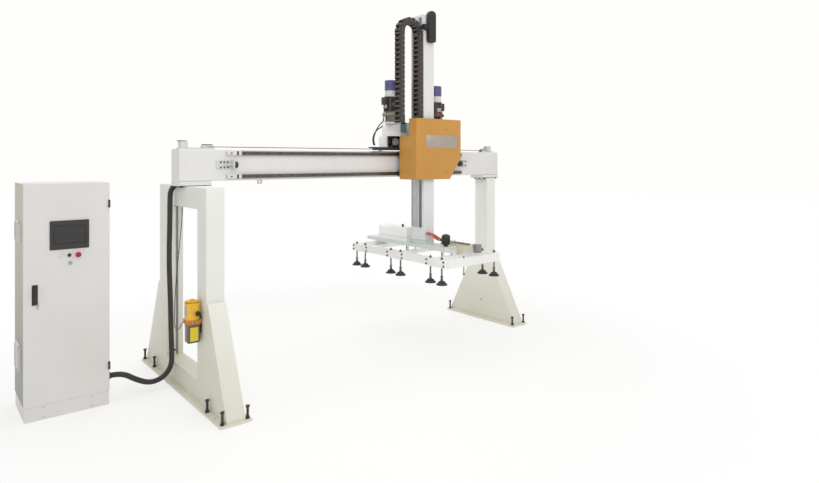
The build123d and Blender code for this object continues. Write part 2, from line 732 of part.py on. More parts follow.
# Vent hoods, hinge halves with their pins, and the conduit's gland on the cabinet
hinge_x = cabinet_right - 4.0
hinge_y = cabinet_front - hinge_radius
hinge_pin_radius = 4.0
hinge_length = 60.0
hinge_stations = (cabinet_height - 170.0, plinth_height + 209.0)
hinge_leaf = 3.0
hinge_leaf_reach = 30.0
hood_depth = 28.0
hood_width = 210.0
hood_sheet = 2.0
hood_slope = 30.0
with BuildPart() as cabinet_fittings:
    for z, height in vents:
        with BuildSketch(Plane.XZ.offset(-body_mid_y)):
            with BuildLine():
                top = z + height / 2
                low = z - height / 2
                hood_face = cabinet_left - hood_depth
                Polyline((cabinet_left, top), (hood_face, top - hood_slope), (hood_face, low),
                         (hood_face + hood_sheet, low),
                         (hood_face + hood_sheet, top - hood_slope - hood_sheet / 2),
                         (cabinet_left, top - 1.5 * hood_sheet), close=True)
            make_face()
        extrude(amount=hood_width / 2, both=True)
        for side in (1, -1):
            with BuildSketch(Plane.XZ.offset(-body_mid_y + side * (hood_width - hood_sheet) / 2)):
                with BuildLine():
                    Polyline((cabinet_left, top), (hood_face, top - hood_slope), (hood_face, low),
                             (cabinet_left, low), close=True)
                make_face()
            extrude(amount=hood_sheet / 2, both=True)
    for z in hinge_stations:
        for third in (-1, 1):
            with BuildSketch(Plane.XY.offset(z + third * hinge_length / 3 - hinge_length / 6)):
                with Locations((hinge_x, hinge_y)):
                    Circle(hinge_radius)
                with Locations((cabinet_right + hinge_leaf / 2,
                                (hinge_y + body_front + hinge_leaf_reach) / 2)):
                    Rectangle(hinge_leaf, body_front + hinge_leaf_reach - hinge_y)
            extrude(amount=hinge_length / 3 - 0.3)
        with BuildSketch(Plane.XY.offset(z - hinge_length / 2)):
            with Locations((hinge_x, hinge_y)):
                Circle(hinge_pin_radius)
        extrude(amount=hinge_length - 0.3)
    with BuildSketch(Plane.YZ.offset(cabinet_right)):
        with Locations((cabinet_gland_y, cabinet_gland_z)):
            RegularPolygon(gland_radius, 6)
            Circle(conduit_radius - 3.0, mode=Mode.SUBTRACT)
    extrude(amount=gland_height)
    with BuildSketch(Plane.YZ.offset(tray_start)):
        with Locations((gland_y, conduit_top)):
            RegularPolygon(gland_radius, 6)
            Circle(conduit_radius - 3.0, mode=Mode.SUBTRACT)
    extrude(amount=-gland_height)
save(cabinet_fittings, "cabinet_fittings")

# Controller on a mounting plate: drives, a controller row, breakers and wiring ducts
standoff = 30.0
standoff_inset = 110.0
standoff_radius = 10.0
plate_thickness = 3.0
plate_side = 35.0
plate_end = 70.0
plate_y = body_back - cabinet_wall - standoff
plate_top = cabinet_height - plate_end
plate_bottom = plinth_height + plate_end
gear_face = plate_y - plate_thickness
drive_width = 90.0
drive_height = 300.0
drive_depth = 190.0
supply_width = 200.0
supply_height = 160.0
supply_depth = 120.0
controller_width = 400.0
controller_height = 120.0
controller_depth = 90.0
breaker_width = 260.0
breaker_height = 90.0
breaker_depth = 75.0
terminal_width = 380.0
terminal_height = 60.0
standoff_margin = 56.0
duct_height = 50.0
duct_depth = 60.0
duct_side = 50.0
# Middle of each wiring duct, measured down from the plate's top
duct_drops = (100.0, 520.0, 780.0, 1010.0, 1260.0)
with BuildPart() as control_gear:
    with BuildSketch(Plane.XZ.offset(-plate_y)):
        with Locations((cabinet_x, (plate_bottom + plate_top) / 2)):
            Rectangle(cabinet_width - 2 * plate_side, plate_top - plate_bottom)
    extrude(amount=plate_thickness)
    # Two drives, the supply, the controller's row, the breakers and the terminals
    for x, drop, width, height, depth in (
        (cabinet_x - 170.0, 320.0, drive_width, drive_height, drive_depth),
        (cabinet_x - 60.0, 320.0, drive_width, drive_height, drive_depth),
        (cabinet_x + 130.0, 300.0, supply_width, supply_height, supply_depth),
        (cabinet_x, 660.0, controller_width, controller_height, controller_depth),
        (cabinet_x - 60.0, 880.0, breaker_width, breaker_height, breaker_depth),
        (cabinet_x, 1120.0, terminal_width, terminal_height, duct_depth),
    ):
        with BuildSketch(Plane.XZ.offset(-gear_face)):
            with Locations((x, plate_top - drop)):
                Rectangle(width, height)
        extrude(amount=depth)
    for drop in duct_drops:
        with BuildSketch(Plane.XZ.offset(-gear_face)):
            with Locations((cabinet_x, plate_top - drop)):
                Rectangle(cabinet_width - 2 * duct_side, duct_height)
        extrude(amount=duct_depth)
    # Stand-offs to the back wall
    for x in (cabinet_left + cabinet_wall + standoff_margin,
              cabinet_right - cabinet_wall - standoff_margin):
        for z in (plinth_height + standoff_inset, cabinet_height - standoff_inset):
            with BuildSketch(Plane.XZ.offset(-plate_y)):
                with Locations((x, z)):
                    Circle(standoff_radius)
            extrude(amount=-standoff)
save(control_gear, "control_gear")

# Door: a folded pan with the hinge knuckles, the handle's plate and the bores of the controls
door_sheet = 2.0
door_left = cabinet_left
door_right = cabinet_right - 2.0
door_mid_x = (door_left + door_right) / 2
door_bottom = plinth_height + 2.0
control_radius = 8.0
control_clearance = 0.05
control_row_z = 1248.0
key_drop = 63.0
start_place = (door_mid_x - 46.0, control_row_z)
selector_place = (door_mid_x + 9.0, control_row_z)
stop_place = (door_mid_x + 69.0, control_row_z)
key_place = (door_mid_x + 16.0, control_row_z - key_drop)
panel_x = door_mid_x + 11.0
panel_z = 1409.5
panel_width = 274.0
panel_height = 225.0
screen_width = 218.0
screen_height = 138.0
screen_rise = 2.5
handle_inset = 73.0
handle_x = door_left + handle_inset
handle_pivot_z = 1005.0
handle_shaft_radius = 6.0
handle_plate = 4.0
with BuildPart() as cabinet_door:
    with BuildSketch(Plane.XZ.offset(-cabinet_front - door_thickness)):
        with Locations((door_mid_x, (door_bottom + cabinet_height) / 2)):
            Rectangle(door_right - door_left, cabinet_height - door_bottom)
    extrude(amount=door_thickness)
    with BuildSketch(Plane.XZ.offset(-cabinet_front - door_thickness)):
        with Locations((door_mid_x, (door_bottom + cabinet_height) / 2)):
            Rectangle(door_right - door_left - 2 * door_sheet, cabinet_height - door_bottom - 2 * door_sheet)
    extrude(amount=door_thickness - door_sheet, mode=Mode.SUBTRACT)
    with BuildSketch(Plane.XZ.offset(-cabinet_front)):
        with Locations((handle_x, 964.0)):
            RectangleRounded(44.0, 160.0, 12.0)
    extrude(amount=handle_plate)
    with BuildSketch(Plane.XZ.offset(-cabinet_front + handle_plate)):
        with Locations(start_place, selector_place, stop_place, key_place):
            Circle(control_radius + control_clearance)
        with Locations((handle_x, handle_pivot_z)):
            Circle(handle_shaft_radius + control_clearance)
    extrude(amount=-2 * handle_plate - door_sheet, mode=Mode.SUBTRACT)
    for z in hinge_stations:
        with BuildSketch(Plane.XY.offset(z - hinge_length / 6)):
            with Locations((hinge_x, hinge_y)):
                Circle(hinge_radius)
            with Locations((hinge_x - 14.0, cabinet_front - 2.0)):
                Rectangle(28.0, 4.0)
            with Locations((hinge_x, hinge_y)):
                Circle(hinge_pin_radius + shaft_clearance, mode=Mode.SUBTRACT)
        extrude(amount=hinge_length / 3 - 0.3)
save(cabinet_door, "cabinet_door")

with BuildPart() as operator_panel:
    with BuildSketch(Plane.XZ.offset(-cabinet_front)):
        with Locations((panel_x, panel_z)):
            RectangleRounded(panel_width, panel_height, 6.0)
    extrude(amount=9.0)
    with BuildSketch(Plane.XZ.offset(-cabinet_front + 9.0)):
        with Locations((panel_x, panel_z + screen_rise)):
            Rectangle(screen_width, screen_height)
    extrude(amount=-1.5, mode=Mode.SUBTRACT)
    chamfer(operator_panel.faces().sort_by(Axis.Y)[0].outer_wire().edges(), 2.0)
save(operator_panel, "operator_panel")

with BuildPart() as door_handle:
    with BuildSketch(Plane.XZ.offset(-cabinet_front + handle_plate + 0.3)):
        with Locations((handle_x, handle_pivot_z - 43.0)):
            RectangleRounded(26.0, 126.0, 11.0)
    extrude(amount=20.0)
    fillet(door_handle.faces().sort_by(Axis.Y)[0].edges(), 5.0)
    with BuildSketch(Plane.XZ.offset(-cabinet_front + handle_plate + 0.3)):
        with Locations((handle_x, handle_pivot_z)):
            Circle(handle_shaft_radius)
    extrude(amount=-handle_plate - door_sheet - 12.0)
save(door_handle, "door_handle")


def control_stem(place, head_radius, head_start, head_length):
    """A control's stem through the door sheet and its head in front."""
    with BuildPart(mode=Mode.PRIVATE) as stem:
        with BuildSketch(Plane.XZ.offset(-cabinet_front + head_start)):
            with Locations(place):
                Circle(control_radius)
        extrude(amount=-head_start - door_sheet - 12.0)
        with BuildSketch(Plane.XZ.offset(-cabinet_front + head_start)):
            with Locations(place):
                Circle(head_radius)
        extrude(amount=head_length)
    return stem.part


push_travel = 5.0
with BuildPart() as start_button:
    add(control_stem(start_place, 13.0, push_travel + 1.0, 8.0))
    fillet(start_button.faces().sort_by(Axis.Y)[0].edges(), 1.5)
save(start_button, "start_button")

with BuildPart() as stop_button:
    add(control_stem(stop_place, 13.0, push_travel + 1.0, 12.0))
    with BuildSketch(Plane.XZ.offset(-cabinet_front + push_travel + 13.0)):
        with Locations(stop_place):
            Circle(20.0)
    extrude(amount=13.0)
    fillet(stop_button.faces().sort_by(Axis.Y)[0].edges(), 5.0)
save(stop_button, "stop_button")

for name, place, reach in (("mode_selector", selector_place, 9.0), ("key_switch", key_place, 6.0)):
    with BuildPart() as turn_control:
        add(control_stem(place, 13.0, 0.3, 9.0))
        with BuildSketch(Plane.XZ.offset(-cabinet_front + 9.3)):
            with Locations(place):
                SlotOverall(22.0, reach)
        extrude(amount=12.0)
    save(turn_control, name)

# Lubricator: pump, flange and grease reservoir on a bracket on the front post's outer side
lube_x = -140.0
lube_y = -455.0
lube_flange_bottom = 677.0
lube_flange = 36.0
lube_bracket = 8.0
with BuildPart() as lubricator:
    with BuildSketch(Plane.YZ.offset(-post_width / 2)):
        with Locations((lube_y, lube_flange_bottom + 58.0)):
            RectangleRounded(116.0, 148.0, 10.0)
    extrude(amount=-lube_bracket)
    with BuildSketch(Plane.XY.offset(lube_flange_bottom)):
        with Locations((lube_x, lube_y)):
            RectangleRounded(114.0, 116.0, 12.0)
    extrude(amount=lube_flange)
    with BuildSketch(Plane.XY.offset(lube_flange_bottom + lube_flange)):
        with Locations((lube_x - 2.0, lube_y)):
            RectangleRounded(104.0, 100.0, 26.0)
    extrude(amount=151.0)
    fillet(lubricator.faces().sort_by(Axis.Z)[-1].edges(), 16.0)
    # Filler knob on the reservoir, and the pump's body under the flange
    with BuildSketch(Plane.XZ.offset(-(lube_y - 50.0))):
        with Locations((lube_x + 24.0, 765.0)):
            Circle(19.0)
    extrude(amount=10.0)
    with BuildSketch(Plane.XY.offset(lube_flange_bottom)):
        with Locations((lube_x, lube_y)):
            RectangleRounded(96.0, 90.0, 10.0)
    extrude(amount=-143.0)
save(lubricator, "lubricator")

# Carriage plate with the saddle that reaches back over the beam
rack_inset = 61.0
rack_y = mast_front + rack_inset
z_box_gap = 54.0
z_box_back = carriage_front - z_box_gap
z_box_depth = 110.0
z_box_x = mast_x + mast_width / 2 + rack_height + pinion_teeth * rack_module / 2 - rack_module
z_box_width = 140.0
z_box_drop = 60.0
z_box_height = 159.0
z_box_bottom = carriage_top - z_box_drop
z_drive_top = z_box_bottom + z_box_height
with BuildPart() as carriage_plate:
    with BuildSketch(Plane.XZ.offset(-carriage_back)):
        with Locations((carriage_mid_x, (carriage_bottom + carriage_top) / 2)):
            RectangleRounded(carriage_width, carriage_height, 10.0)
        with Locations((carriage_mid_x + 90.0, beam_mid_z)):
            RectangleRounded(200.0, 110.0, 20.0, mode=Mode.SUBTRACT)
    extrude(amount=carriage_plate_thickness)
    # Block that carries the lift drive on the front of the plate
    with BuildSketch(Plane.XZ.offset(-carriage_front)):
        with Locations((z_box_x, z_box_bottom + 30.0)):
            Rectangle(z_box_width - 20.0, 50.0)
    extrude(amount=carriage_front - z_box_back)
save(carriage_plate, "carriage_plate")

x_block_inset = 60.0
z_block_rise = 105.0
z_block_pitch = 250.0
x_block_x = (carriage_x + x_block_inset, carriage_right - x_block_inset)
z_block_z = (carriage_bottom + z_block_rise, carriage_bottom + z_block_rise + z_block_pitch)
z_rail_x = (mast_x - z_rail_pitch / 2, mast_x + z_rail_pitch / 2)
with BuildPart() as bearing_blocks:
    for x in x_block_x:
        for z in (lower_rail_z, upper_rail_z):
            with BuildSketch(Plane.YZ.offset(x - block_length / 2)):
                with Locations((carriage_back + block_height / 2, z)):
                    Rectangle(block_height, block_width)
                with Locations((beam_front - rail_height / 2, z)):
                    Rectangle(rail_height + 2 * rail_clearance, rail_width + 2 * rail_clearance,
                              mode=Mode.SUBTRACT)
            extrude(amount=block_length)
    for x in z_rail_x:
        for z in z_block_z:
            with BuildSketch(Plane.XY.offset(z - block_length / 2)):
                with Locations((x, carriage_front - block_height / 2)):
                    Rectangle(block_width, block_height)
                with Locations((x, z_block_face + rail_height / 2)):
                    Rectangle(rail_width + 2 * rail_clearance, rail_height + 2 * rail_clearance,
                              mode=Mode.SUBTRACT)
            extrude(amount=block_length)
save(bearing_blocks, "bearing_blocks")

# Sheet cover: front and side walls with return lips, a sloping cut at the right, a notch at the left
cover_left = carriage_x - cover_left_margin
cover_right = carriage_right + cover_right_margin
cover_front = mast_front - cover_clearance
cover_bottom = carriage_bottom - cover_skirt
cover_top = cover_bottom + cover_height
with BuildPart() as carriage_cover:
    with BuildSketch(Plane.XY.offset(cover_bottom)):
        with BuildLine():
            lip_face = carriage_front - cover_wall
            Polyline((cover_left, carriage_front), (cover_left, cover_front), (cover_right, cover_front),
                     (cover_right, carriage_front), (cover_right - cover_lip, carriage_front),
                     (cover_right - cover_lip, lip_face), (cover_right - cover_wall, lip_face),
                     (cover_right - cover_wall, cover_front + cover_wall),
                     (cover_left + cover_wall, cover_front + cover_wall),
                     (cover_left + cover_wall, lip_face), (cover_left + cover_lip, lip_face),
                     (cover_left + cover_lip, carriage_front), close=True)
        make_face()
        fillet([v for v in vertices() if abs(v.Y - cover_front) < 0.1], cover_corner)
        fillet([v for v in vertices() if abs(v.Y - cover_front - cover_wall) < 0.1],
               cover_corner - cover_wall)
    extrude(amount=cover_top - cover_bottom)
    with BuildSketch(Plane.XZ.offset(-carriage_front)):
        with BuildLine():
            Polyline((cover_right, cover_bottom), (cover_right - cover_cut_width, cover_bottom),
                     (cover_right, cover_bottom + cover_cut_height), close=True)
        make_face()
    extrude(amount=carriage_front - cover_front, mode=Mode.SUBTRACT)
    with BuildSketch(Plane.YZ.offset(cover_left)):
        with Locations((carriage_front - cover_notch_depth / 2, cover_top - cover_notch_height / 2)):
            Rectangle(cover_notch_depth, cover_notch_height)
    extrude(amount=cover_lip, mode=Mode.SUBTRACT)
    # Sloping closing strip along the cut
    slope = math.hypot(cover_cut_width, cover_cut_height)
    inward = (-cover_wall * cover_cut_height / slope, cover_wall * cover_cut_width / slope)
    foot = (cover_right - cover_cut_width, cover_bottom)
    head = (cover_right, cover_bottom + cover_cut_height)
    with BuildSketch(Plane.XZ.offset(-carriage_front)):
        with BuildLine():
            Polyline(foot, head, (head[0] + inward[0], head[1] + inward[1]),
                     (foot[0] + inward[0], foot[1] + inward[1]), close=True)
        make_face()
    extrude(amount=carriage_front - cover_front)
save(carriage_cover, "carriage_cover")

# Saddle over the beam and the frame of the belt drive
saddle_clearance = 30.0
saddle_thickness = 14.0
saddle_left_reach = 178.0
saddle_right_reach = 122.0
dog_reach = 360.0
dog_depth = 80.0
box_rise = 7.0
frame_reach = 128.0
saddle_bottom = beam_top + saddle_clearance
saddle_left = pulley_x - saddle_left_reach
saddle_right = pulley_x + saddle_right_reach
saddle_top = saddle_bottom + saddle_thickness
dog_left = carriage_x - dog_reach
box_bottom = carriage_top + box_rise
frame_left = pulley_x - frame_reach
frame_back = drive_back + 12.0
window_margin = idler_radius + 4.0
with BuildPart() as x_drive_frame:
    with BuildSketch(Plane.XY.offset(saddle_bottom)):
        with Locations(((saddle_left + saddle_right) / 2, (carriage_back + beam_width / 2) / 2)):
            Rectangle(saddle_right - saddle_left, beam_width / 2 - carriage_back)
        with Locations((pulley_x, (drive_back - belt_width / 2 - 9.0) / 2)):
            Rectangle(idler_right_x - idler_left_x + 2 * window_margin, drive_back + belt_width / 2 + 9.0,
                      mode=Mode.SUBTRACT)
    extrude(amount=saddle_thickness)
    # Front strip that trips the limit switches, with a skirt beside the beam's top edge
    with BuildSketch(Plane.XY.offset(saddle_bottom)):
        with Locations(((dog_left + saddle_left) / 2, carriage_back + dog_depth / 2)):
            Rectangle(saddle_left - dog_left, dog_depth)
    extrude(amount=saddle_thickness)
    with BuildSketch(Plane.XY.offset(saddle_bottom - 20.0)):
        with Locations(((dog_left + carriage_x) / 2, carriage_back + 6.0)):
            Rectangle(carriage_x - dog_left, 12.0)
    extrude(amount=20.0)
    with BuildSketch(Plane.XY.offset(saddle_top)):
        with Locations(((frame_left + saddle_right) / 2, (drive_back + frame_back) / 2)):
            Rectangle(saddle_right - frame_left, frame_back - drive_back)
        for x in (frame_left + 6.0, saddle_right - 6.0):
            with Locations((x, (frame_back - 40.0) / 2)):
                Rectangle(12.0, frame_back + 40.0)
    extrude(amount=box_bottom - saddle_top)
    with BuildSketch(Plane.XZ.offset(-drive_back)):
        with Locations((idler_left_x, idler_z), (idler_right_x, idler_z)):
            Circle(shaft_radius / 2 + 1.0 + shaft_clearance)
        with Locations((pulley_x, pulley_z)):
            Circle(shaft_radius + shaft_clearance)
    extrude(amount=-(frame_back - drive_back), mode=Mode.SUBTRACT)
save(x_drive_frame, "x_drive_frame")

# Gearboxes: the pale right-angle box of the long axis, and the lift drive's box
box_left_reach = 217.0
box_right_margin = 8.0
box_height = 150.0
box_left = carriage_x - box_left_reach
box_body_left = frame_left
box_right = saddle_right - box_right_margin
drive_top = box_bottom + box_height
box_front = carriage_front - 2.0
box_panel_depth = 40.0
box_body_back = 50.0
box_back = 110.0
with BuildPart() as gearboxes:
    with BuildSketch(Plane.XY.offset(box_bottom)):
        with Locations(((box_left + box_right) / 2, box_front + box_panel_depth / 2)):
            Rectangle(box_right - box_left, box_panel_depth)
        with Locations(((box_body_left + box_right) / 2, (box_front + box_body_back) / 2)):
            Rectangle(box_right - box_body_left, box_body_back - box_front)
    extrude(amount=drive_top - box_bottom)
    with BuildSketch(Plane.XY.offset(box_bottom)):
        with Locations((pulley_x, (frame_back + box_back) / 2)):
            Rectangle(110.0, box_back - frame_back)
    extrude(amount=saddle_top - box_bottom)
    with BuildSketch(Plane.XZ.offset(-frame_back)):
        with Locations((pulley_x, pulley_z)):
            Circle(shaft_radius + shaft_clearance)
    extrude(amount=-50.0, mode=Mode.SUBTRACT)
    with BuildSketch(Plane.XY.offset(z_box_bottom)):
        with Locations((z_box_x, z_box_back - z_box_depth / 2)):
            RectangleRounded(z_box_width, z_box_depth, 8.0)
    extrude(amount=z_drive_top - z_box_bottom)
    with BuildSketch(Plane.XZ.offset(-z_box_back + z_box_depth)):
        with Locations((z_box_x, pinion_z)):
            Circle(shaft_radius + 4.0 + shaft_clearance)
    extrude(amount=-60.0, mode=Mode.SUBTRACT)
save(gearboxes, "gearboxes")

x_motor_place = (pulley_x - 63.0, -20.0)
z_motor_place = (z_box_x + 22.0, z_box_back - 70.0)
motor_length = motor_flange_height + motor_height + motor_ring_height
with BuildPart() as drive_motors:
    for (x, y), base, side in ((x_motor_place, drive_top, -1), (z_motor_place, z_drive_top, 1)):
        motor_top = base + motor_length
        for start, radius, length in (
            (base, motor_radius - 8.0, motor_flange_height),
            (base + motor_flange_height, motor_radius, motor_height),
            (motor_top - motor_ring_height, cap_radius, motor_ring_height),
        ):
            with BuildSketch(Plane.XY.offset(start)):
                with Locations((x, y)):
                    Circle(radius)
            extrude(amount=length)
        for start in (base, base + motor_flange_height - 40.0):
            with BuildSketch(Plane.XY.offset(start)):
                with Locations((x, y)):
                    RectangleRounded(motor_flange, motor_flange, 14.0)
            extrude(amount=16.0)
        # Terminal box and its cable outlet
        with BuildSketch(Plane.XY.offset(motor_top - motor_ring_height - 92.0)):
            with Locations((x + side * (motor_radius + 14.0), y)):
                RectangleRounded(52.0, 76.0, 6.0)
        extrude(amount=84.0)
        with BuildSketch(Plane.XY.offset(motor_top - motor_ring_height - 92.0)):
            with Locations((x + side * (motor_radius + 16.0), y)):
                Circle(14.0)
        extrude(amount=-26.0)
save(drive_motors, "drive_motors")

with BuildPart() as encoder_caps:
    for (x, y), base in ((x_motor_place, drive_top), (z_motor_place, z_drive_top)):
        with BuildSketch(Plane.XY.offset(base + motor_length)):
            with Locations((x, y)):
                Circle(cap_radius)
        extrude(amount=cap_height)
    fillet(encoder_caps.faces().sort_by(Axis.Z)[-2:].edges(), 6.0)
save(encoder_caps, "encoder_caps")

# Energy chain of the lift: its left leg stands on the carriage, its right leg hangs by the mast
guide_strip = 3.0
z_chain_y = mast_front + 16.0 + z_chain_width / 2
z_chain_right = mast_left - guide_strip - 0.5 - z_chain_height / 2
z_chain_left = z_chain_right - 2 * chain_bend_radius
z_chain_rise = 128.0
z_chain_drop = 213.0
z_chain_foot = box_bottom + z_chain_rise
z_chain_turn = mast_top - z_chain_drop
arm_thickness = 12.0
with BuildPart() as chain_arms:
    with BuildSketch(Plane.XY.offset(z_chain_foot - arm_thickness)):
        with Locations((z_chain_left + 2.0, (box_front + z_chain_y - z_chain_width / 2) / 2)):
            Rectangle(z_chain_height + 10.0, box_front - z_chain_y + z_chain_width / 2)
    extrude(amount=arm_thickness)
    with BuildSketch(Plane.XY.offset(z_chain_foot)):
        with Locations((z_chain_left + z_chain_height / 2 + 3.0, z_chain_y)):
            Rectangle(6.0, z_chain_width)
    extrude(amount=80.0)
    with BuildSketch(Plane.XY.offset(saddle_bottom)):
        with Locations((x_chain_arm_x - 25.0, (beam_width / 2 + x_chain_y + x_chain_width / 2) / 2)):
            Rectangle(50.0, x_chain_y + x_chain_width / 2 - beam_width / 2)
    extrude(amount=saddle_thickness)
    with BuildSketch(Plane.XY.offset(x_chain_high - x_chain_height / 2)):
        with Locations((x_chain_arm_x - 5.0, x_chain_y)):
            Rectangle(10.0, x_chain_width)
    extrude(amount=saddle_bottom - x_chain_high + x_chain_height / 2)
save(chain_arms, "chain_arms")

for name, x in (("z_chain_left_leg", z_chain_left), ("z_chain_right_leg", z_chain_right)):
    with BuildPart() as leg:
        with BuildSketch(Plane.XY.offset(z_chain_foot)):
            with Locations((x, z_chain_y)):
                Rectangle(z_chain_height, z_chain_width)
        extrude(amount=z_chain_turn - z_chain_foot)
    save(leg, name)

with BuildPart() as z_chain_bend:
    with BuildSketch(Plane.XZ.offset(-z_chain_y)):
        with Locations(((z_chain_left + z_chain_right) / 2, z_chain_turn)):
            Circle(chain_bend_radius + z_chain_height / 2)
            Circle(chain_bend_radius - z_chain_height / 2, mode=Mode.SUBTRACT)
        with Locations(((z_chain_left + z_chain_right) / 2, z_chain_turn - chain_bend_radius)):
            Rectangle(4 * chain_bend_radius, 2 * chain_bend_radius, mode=Mode.SUBTRACT)
    extrude(amount=z_chain_width / 2, both=True)
save(z_chain_bend, "z_chain_bend")

# Mast: a box tube with a cap, and a flange for the gripper at its foot
flange_thickness = 15.0
flange_margin = 25.0
mast_mid_y = (mast_front + z_block_face) / 2
with BuildPart() as mast:
    with BuildSketch(Plane.XY.offset(mast_bottom)):
        with Locations((mast_x, mast_mid_y)):
            RectangleRounded(mast_width, mast_depth, 10.0)
            Rectangle(mast_width - 2 * mast_wall, mast_depth - 2 * mast_wall, mode=Mode.SUBTRACT)
    extrude(amount=mast_top - mast_bottom - mast_wall)
    with BuildSketch(Plane.XY.offset(mast_top - mast_wall)):
        with Locations((mast_x, mast_mid_y)):
            RectangleRounded(mast_width, mast_depth, 10.0)
            Circle(25.0, mode=Mode.SUBTRACT)
    extrude(amount=mast_wall)
    with BuildSketch(Plane.XY.offset(mast_bottom)):
        with Locations((mast_x, mast_mid_y)):
            RectangleRounded(mast_width + flange_margin, mast_depth + flange_margin, 10.0)
    extrude(amount=-flange_thickness)
save(mast, "mast")

z_rail_bottom = mast_bottom + 110.0
z_rail_top = mast_top - 40.0
with BuildPart() as z_rails:
    for x in z_rail_x:
        with BuildSketch(Plane.XY.offset(z_rail_bottom)):
            with Locations((x, z_block_face + rail_height / 2)):
                Rectangle(rail_width, rail_height)
            for side in (-1, 1):
                with Locations((x + side * rail_width / 2, z_block_face + rail_height * 0.55)):
                    Circle(3.5, mode=Mode.SUBTRACT)
        extrude(amount=z_rail_top - z_rail_bottom)
save(z_rails, "z_rails")

# Rack on the mast's side: straight flanks at the pressure angle, a gap level with the pinion
tooth_pitch = math.pi * rack_module
pressure_angle = math.radians(20.0)
rack_tip = mast_right + rack_height
rack_pitch_x = rack_tip - rack_module
rack_root = rack_pitch_x - 1.25 * rack_module
rack_bottom = pinion_z - rack_teeth / 2 * tooth_pitch
half_tooth = tooth_pitch / 4 - mesh_clearance / 2
tip_half = half_tooth - rack_module * math.tan(pressure_angle)
root_half = half_tooth + 1.25 * rack_module * math.tan(pressure_angle)
with BuildPart() as z_rack:
    with BuildSketch(Plane.XZ.offset(-rack_y)):
        with BuildLine():
            points = [(mast_right, rack_bottom), (rack_root, rack_bottom)]
            for tooth in range(rack_teeth):
                middle = rack_bottom + (tooth + 0.5) * tooth_pitch
                points += [(rack_root, middle - root_half), (rack_tip, middle - tip_half),
                           (rack_tip, middle + tip_half), (rack_root, middle + root_half)]
            rack_top = rack_bottom + rack_teeth * tooth_pitch
            points += [(rack_root, rack_top), (mast_right, rack_top)]
            Polyline(*points, close=True)
        make_face()
    extrude(amount=rack_width / 2, both=True)
save(z_rack, "z_rack")

# Pinion: involute flanks, with a tooth pointing into the rack's gap
pinion_pitch = rack_module * pinion_teeth / 2
pinion_base = pinion_pitch * math.cos(pressure_angle)
pinion_tip = pinion_pitch + rack_module
pinion_root = pinion_pitch - 1.25 * rack_module
pinion_x = rack_pitch_x + pinion_pitch


def involute_angle(radius):
    """The polar angle of the involute at a radius, from where it leaves the base circle."""
    if radius <= pinion_base:
        return 0.0
    roll = math.sqrt((radius / pinion_base) ** 2 - 1)
    return roll - math.atan(roll)


def polar(radius, angle):
    return (radius * math.cos(angle), radius * math.sin(angle))


half_at_pitch = math.pi / (2 * pinion_teeth) - mesh_clearance / (2 * pinion_pitch)
flank_start = half_at_pitch + involute_angle(pinion_pitch)
pinion_shaft = shaft_radius + 4.0
with BuildPart() as z_pinion:
    with BuildSketch(Plane((pinion_x, rack_y, pinion_z), x_dir=(1, 0, 0), z_dir=(0, -1, 0))):
        with BuildLine():
            for tooth in range(pinion_teeth):
                middle = math.pi + 2 * math.pi * tooth / pinion_teeth
                following = middle + 2 * math.pi / pinion_teeth
                low = [polar(r, middle - flank_start + involute_angle(r))
                       for r in (pinion_root, (pinion_base + pinion_tip) / 2, pinion_tip)]
                high = [polar(r, middle + flank_start - involute_angle(r))
                        for r in (pinion_tip, (pinion_base + pinion_tip) / 2, pinion_root)]
                ThreePointArc(*low)
                Line(low[-1], high[0])
                ThreePointArc(*high)
                Line(high[-1], polar(pinion_root, following - flank_start))
        make_face()
        with PolarLocations(pinion_pitch * 0.58, 6):
            Circle(11.0, mode=Mode.SUBTRACT)
    extrude(amount=rack_width / 2 - 2.0, both=True)
    with BuildSketch(Plane.XZ.offset(-rack_y + rack_width / 2 + 8.0)):
        with Locations((pinion_x, pinion_z)):
            Circle(pinion_shaft)
    extrude(amount=-(z_box_back - z_box_depth + 50.0 - rack_y + rack_width / 2 + 8.0))
save(z_pinion, "z_pinion")

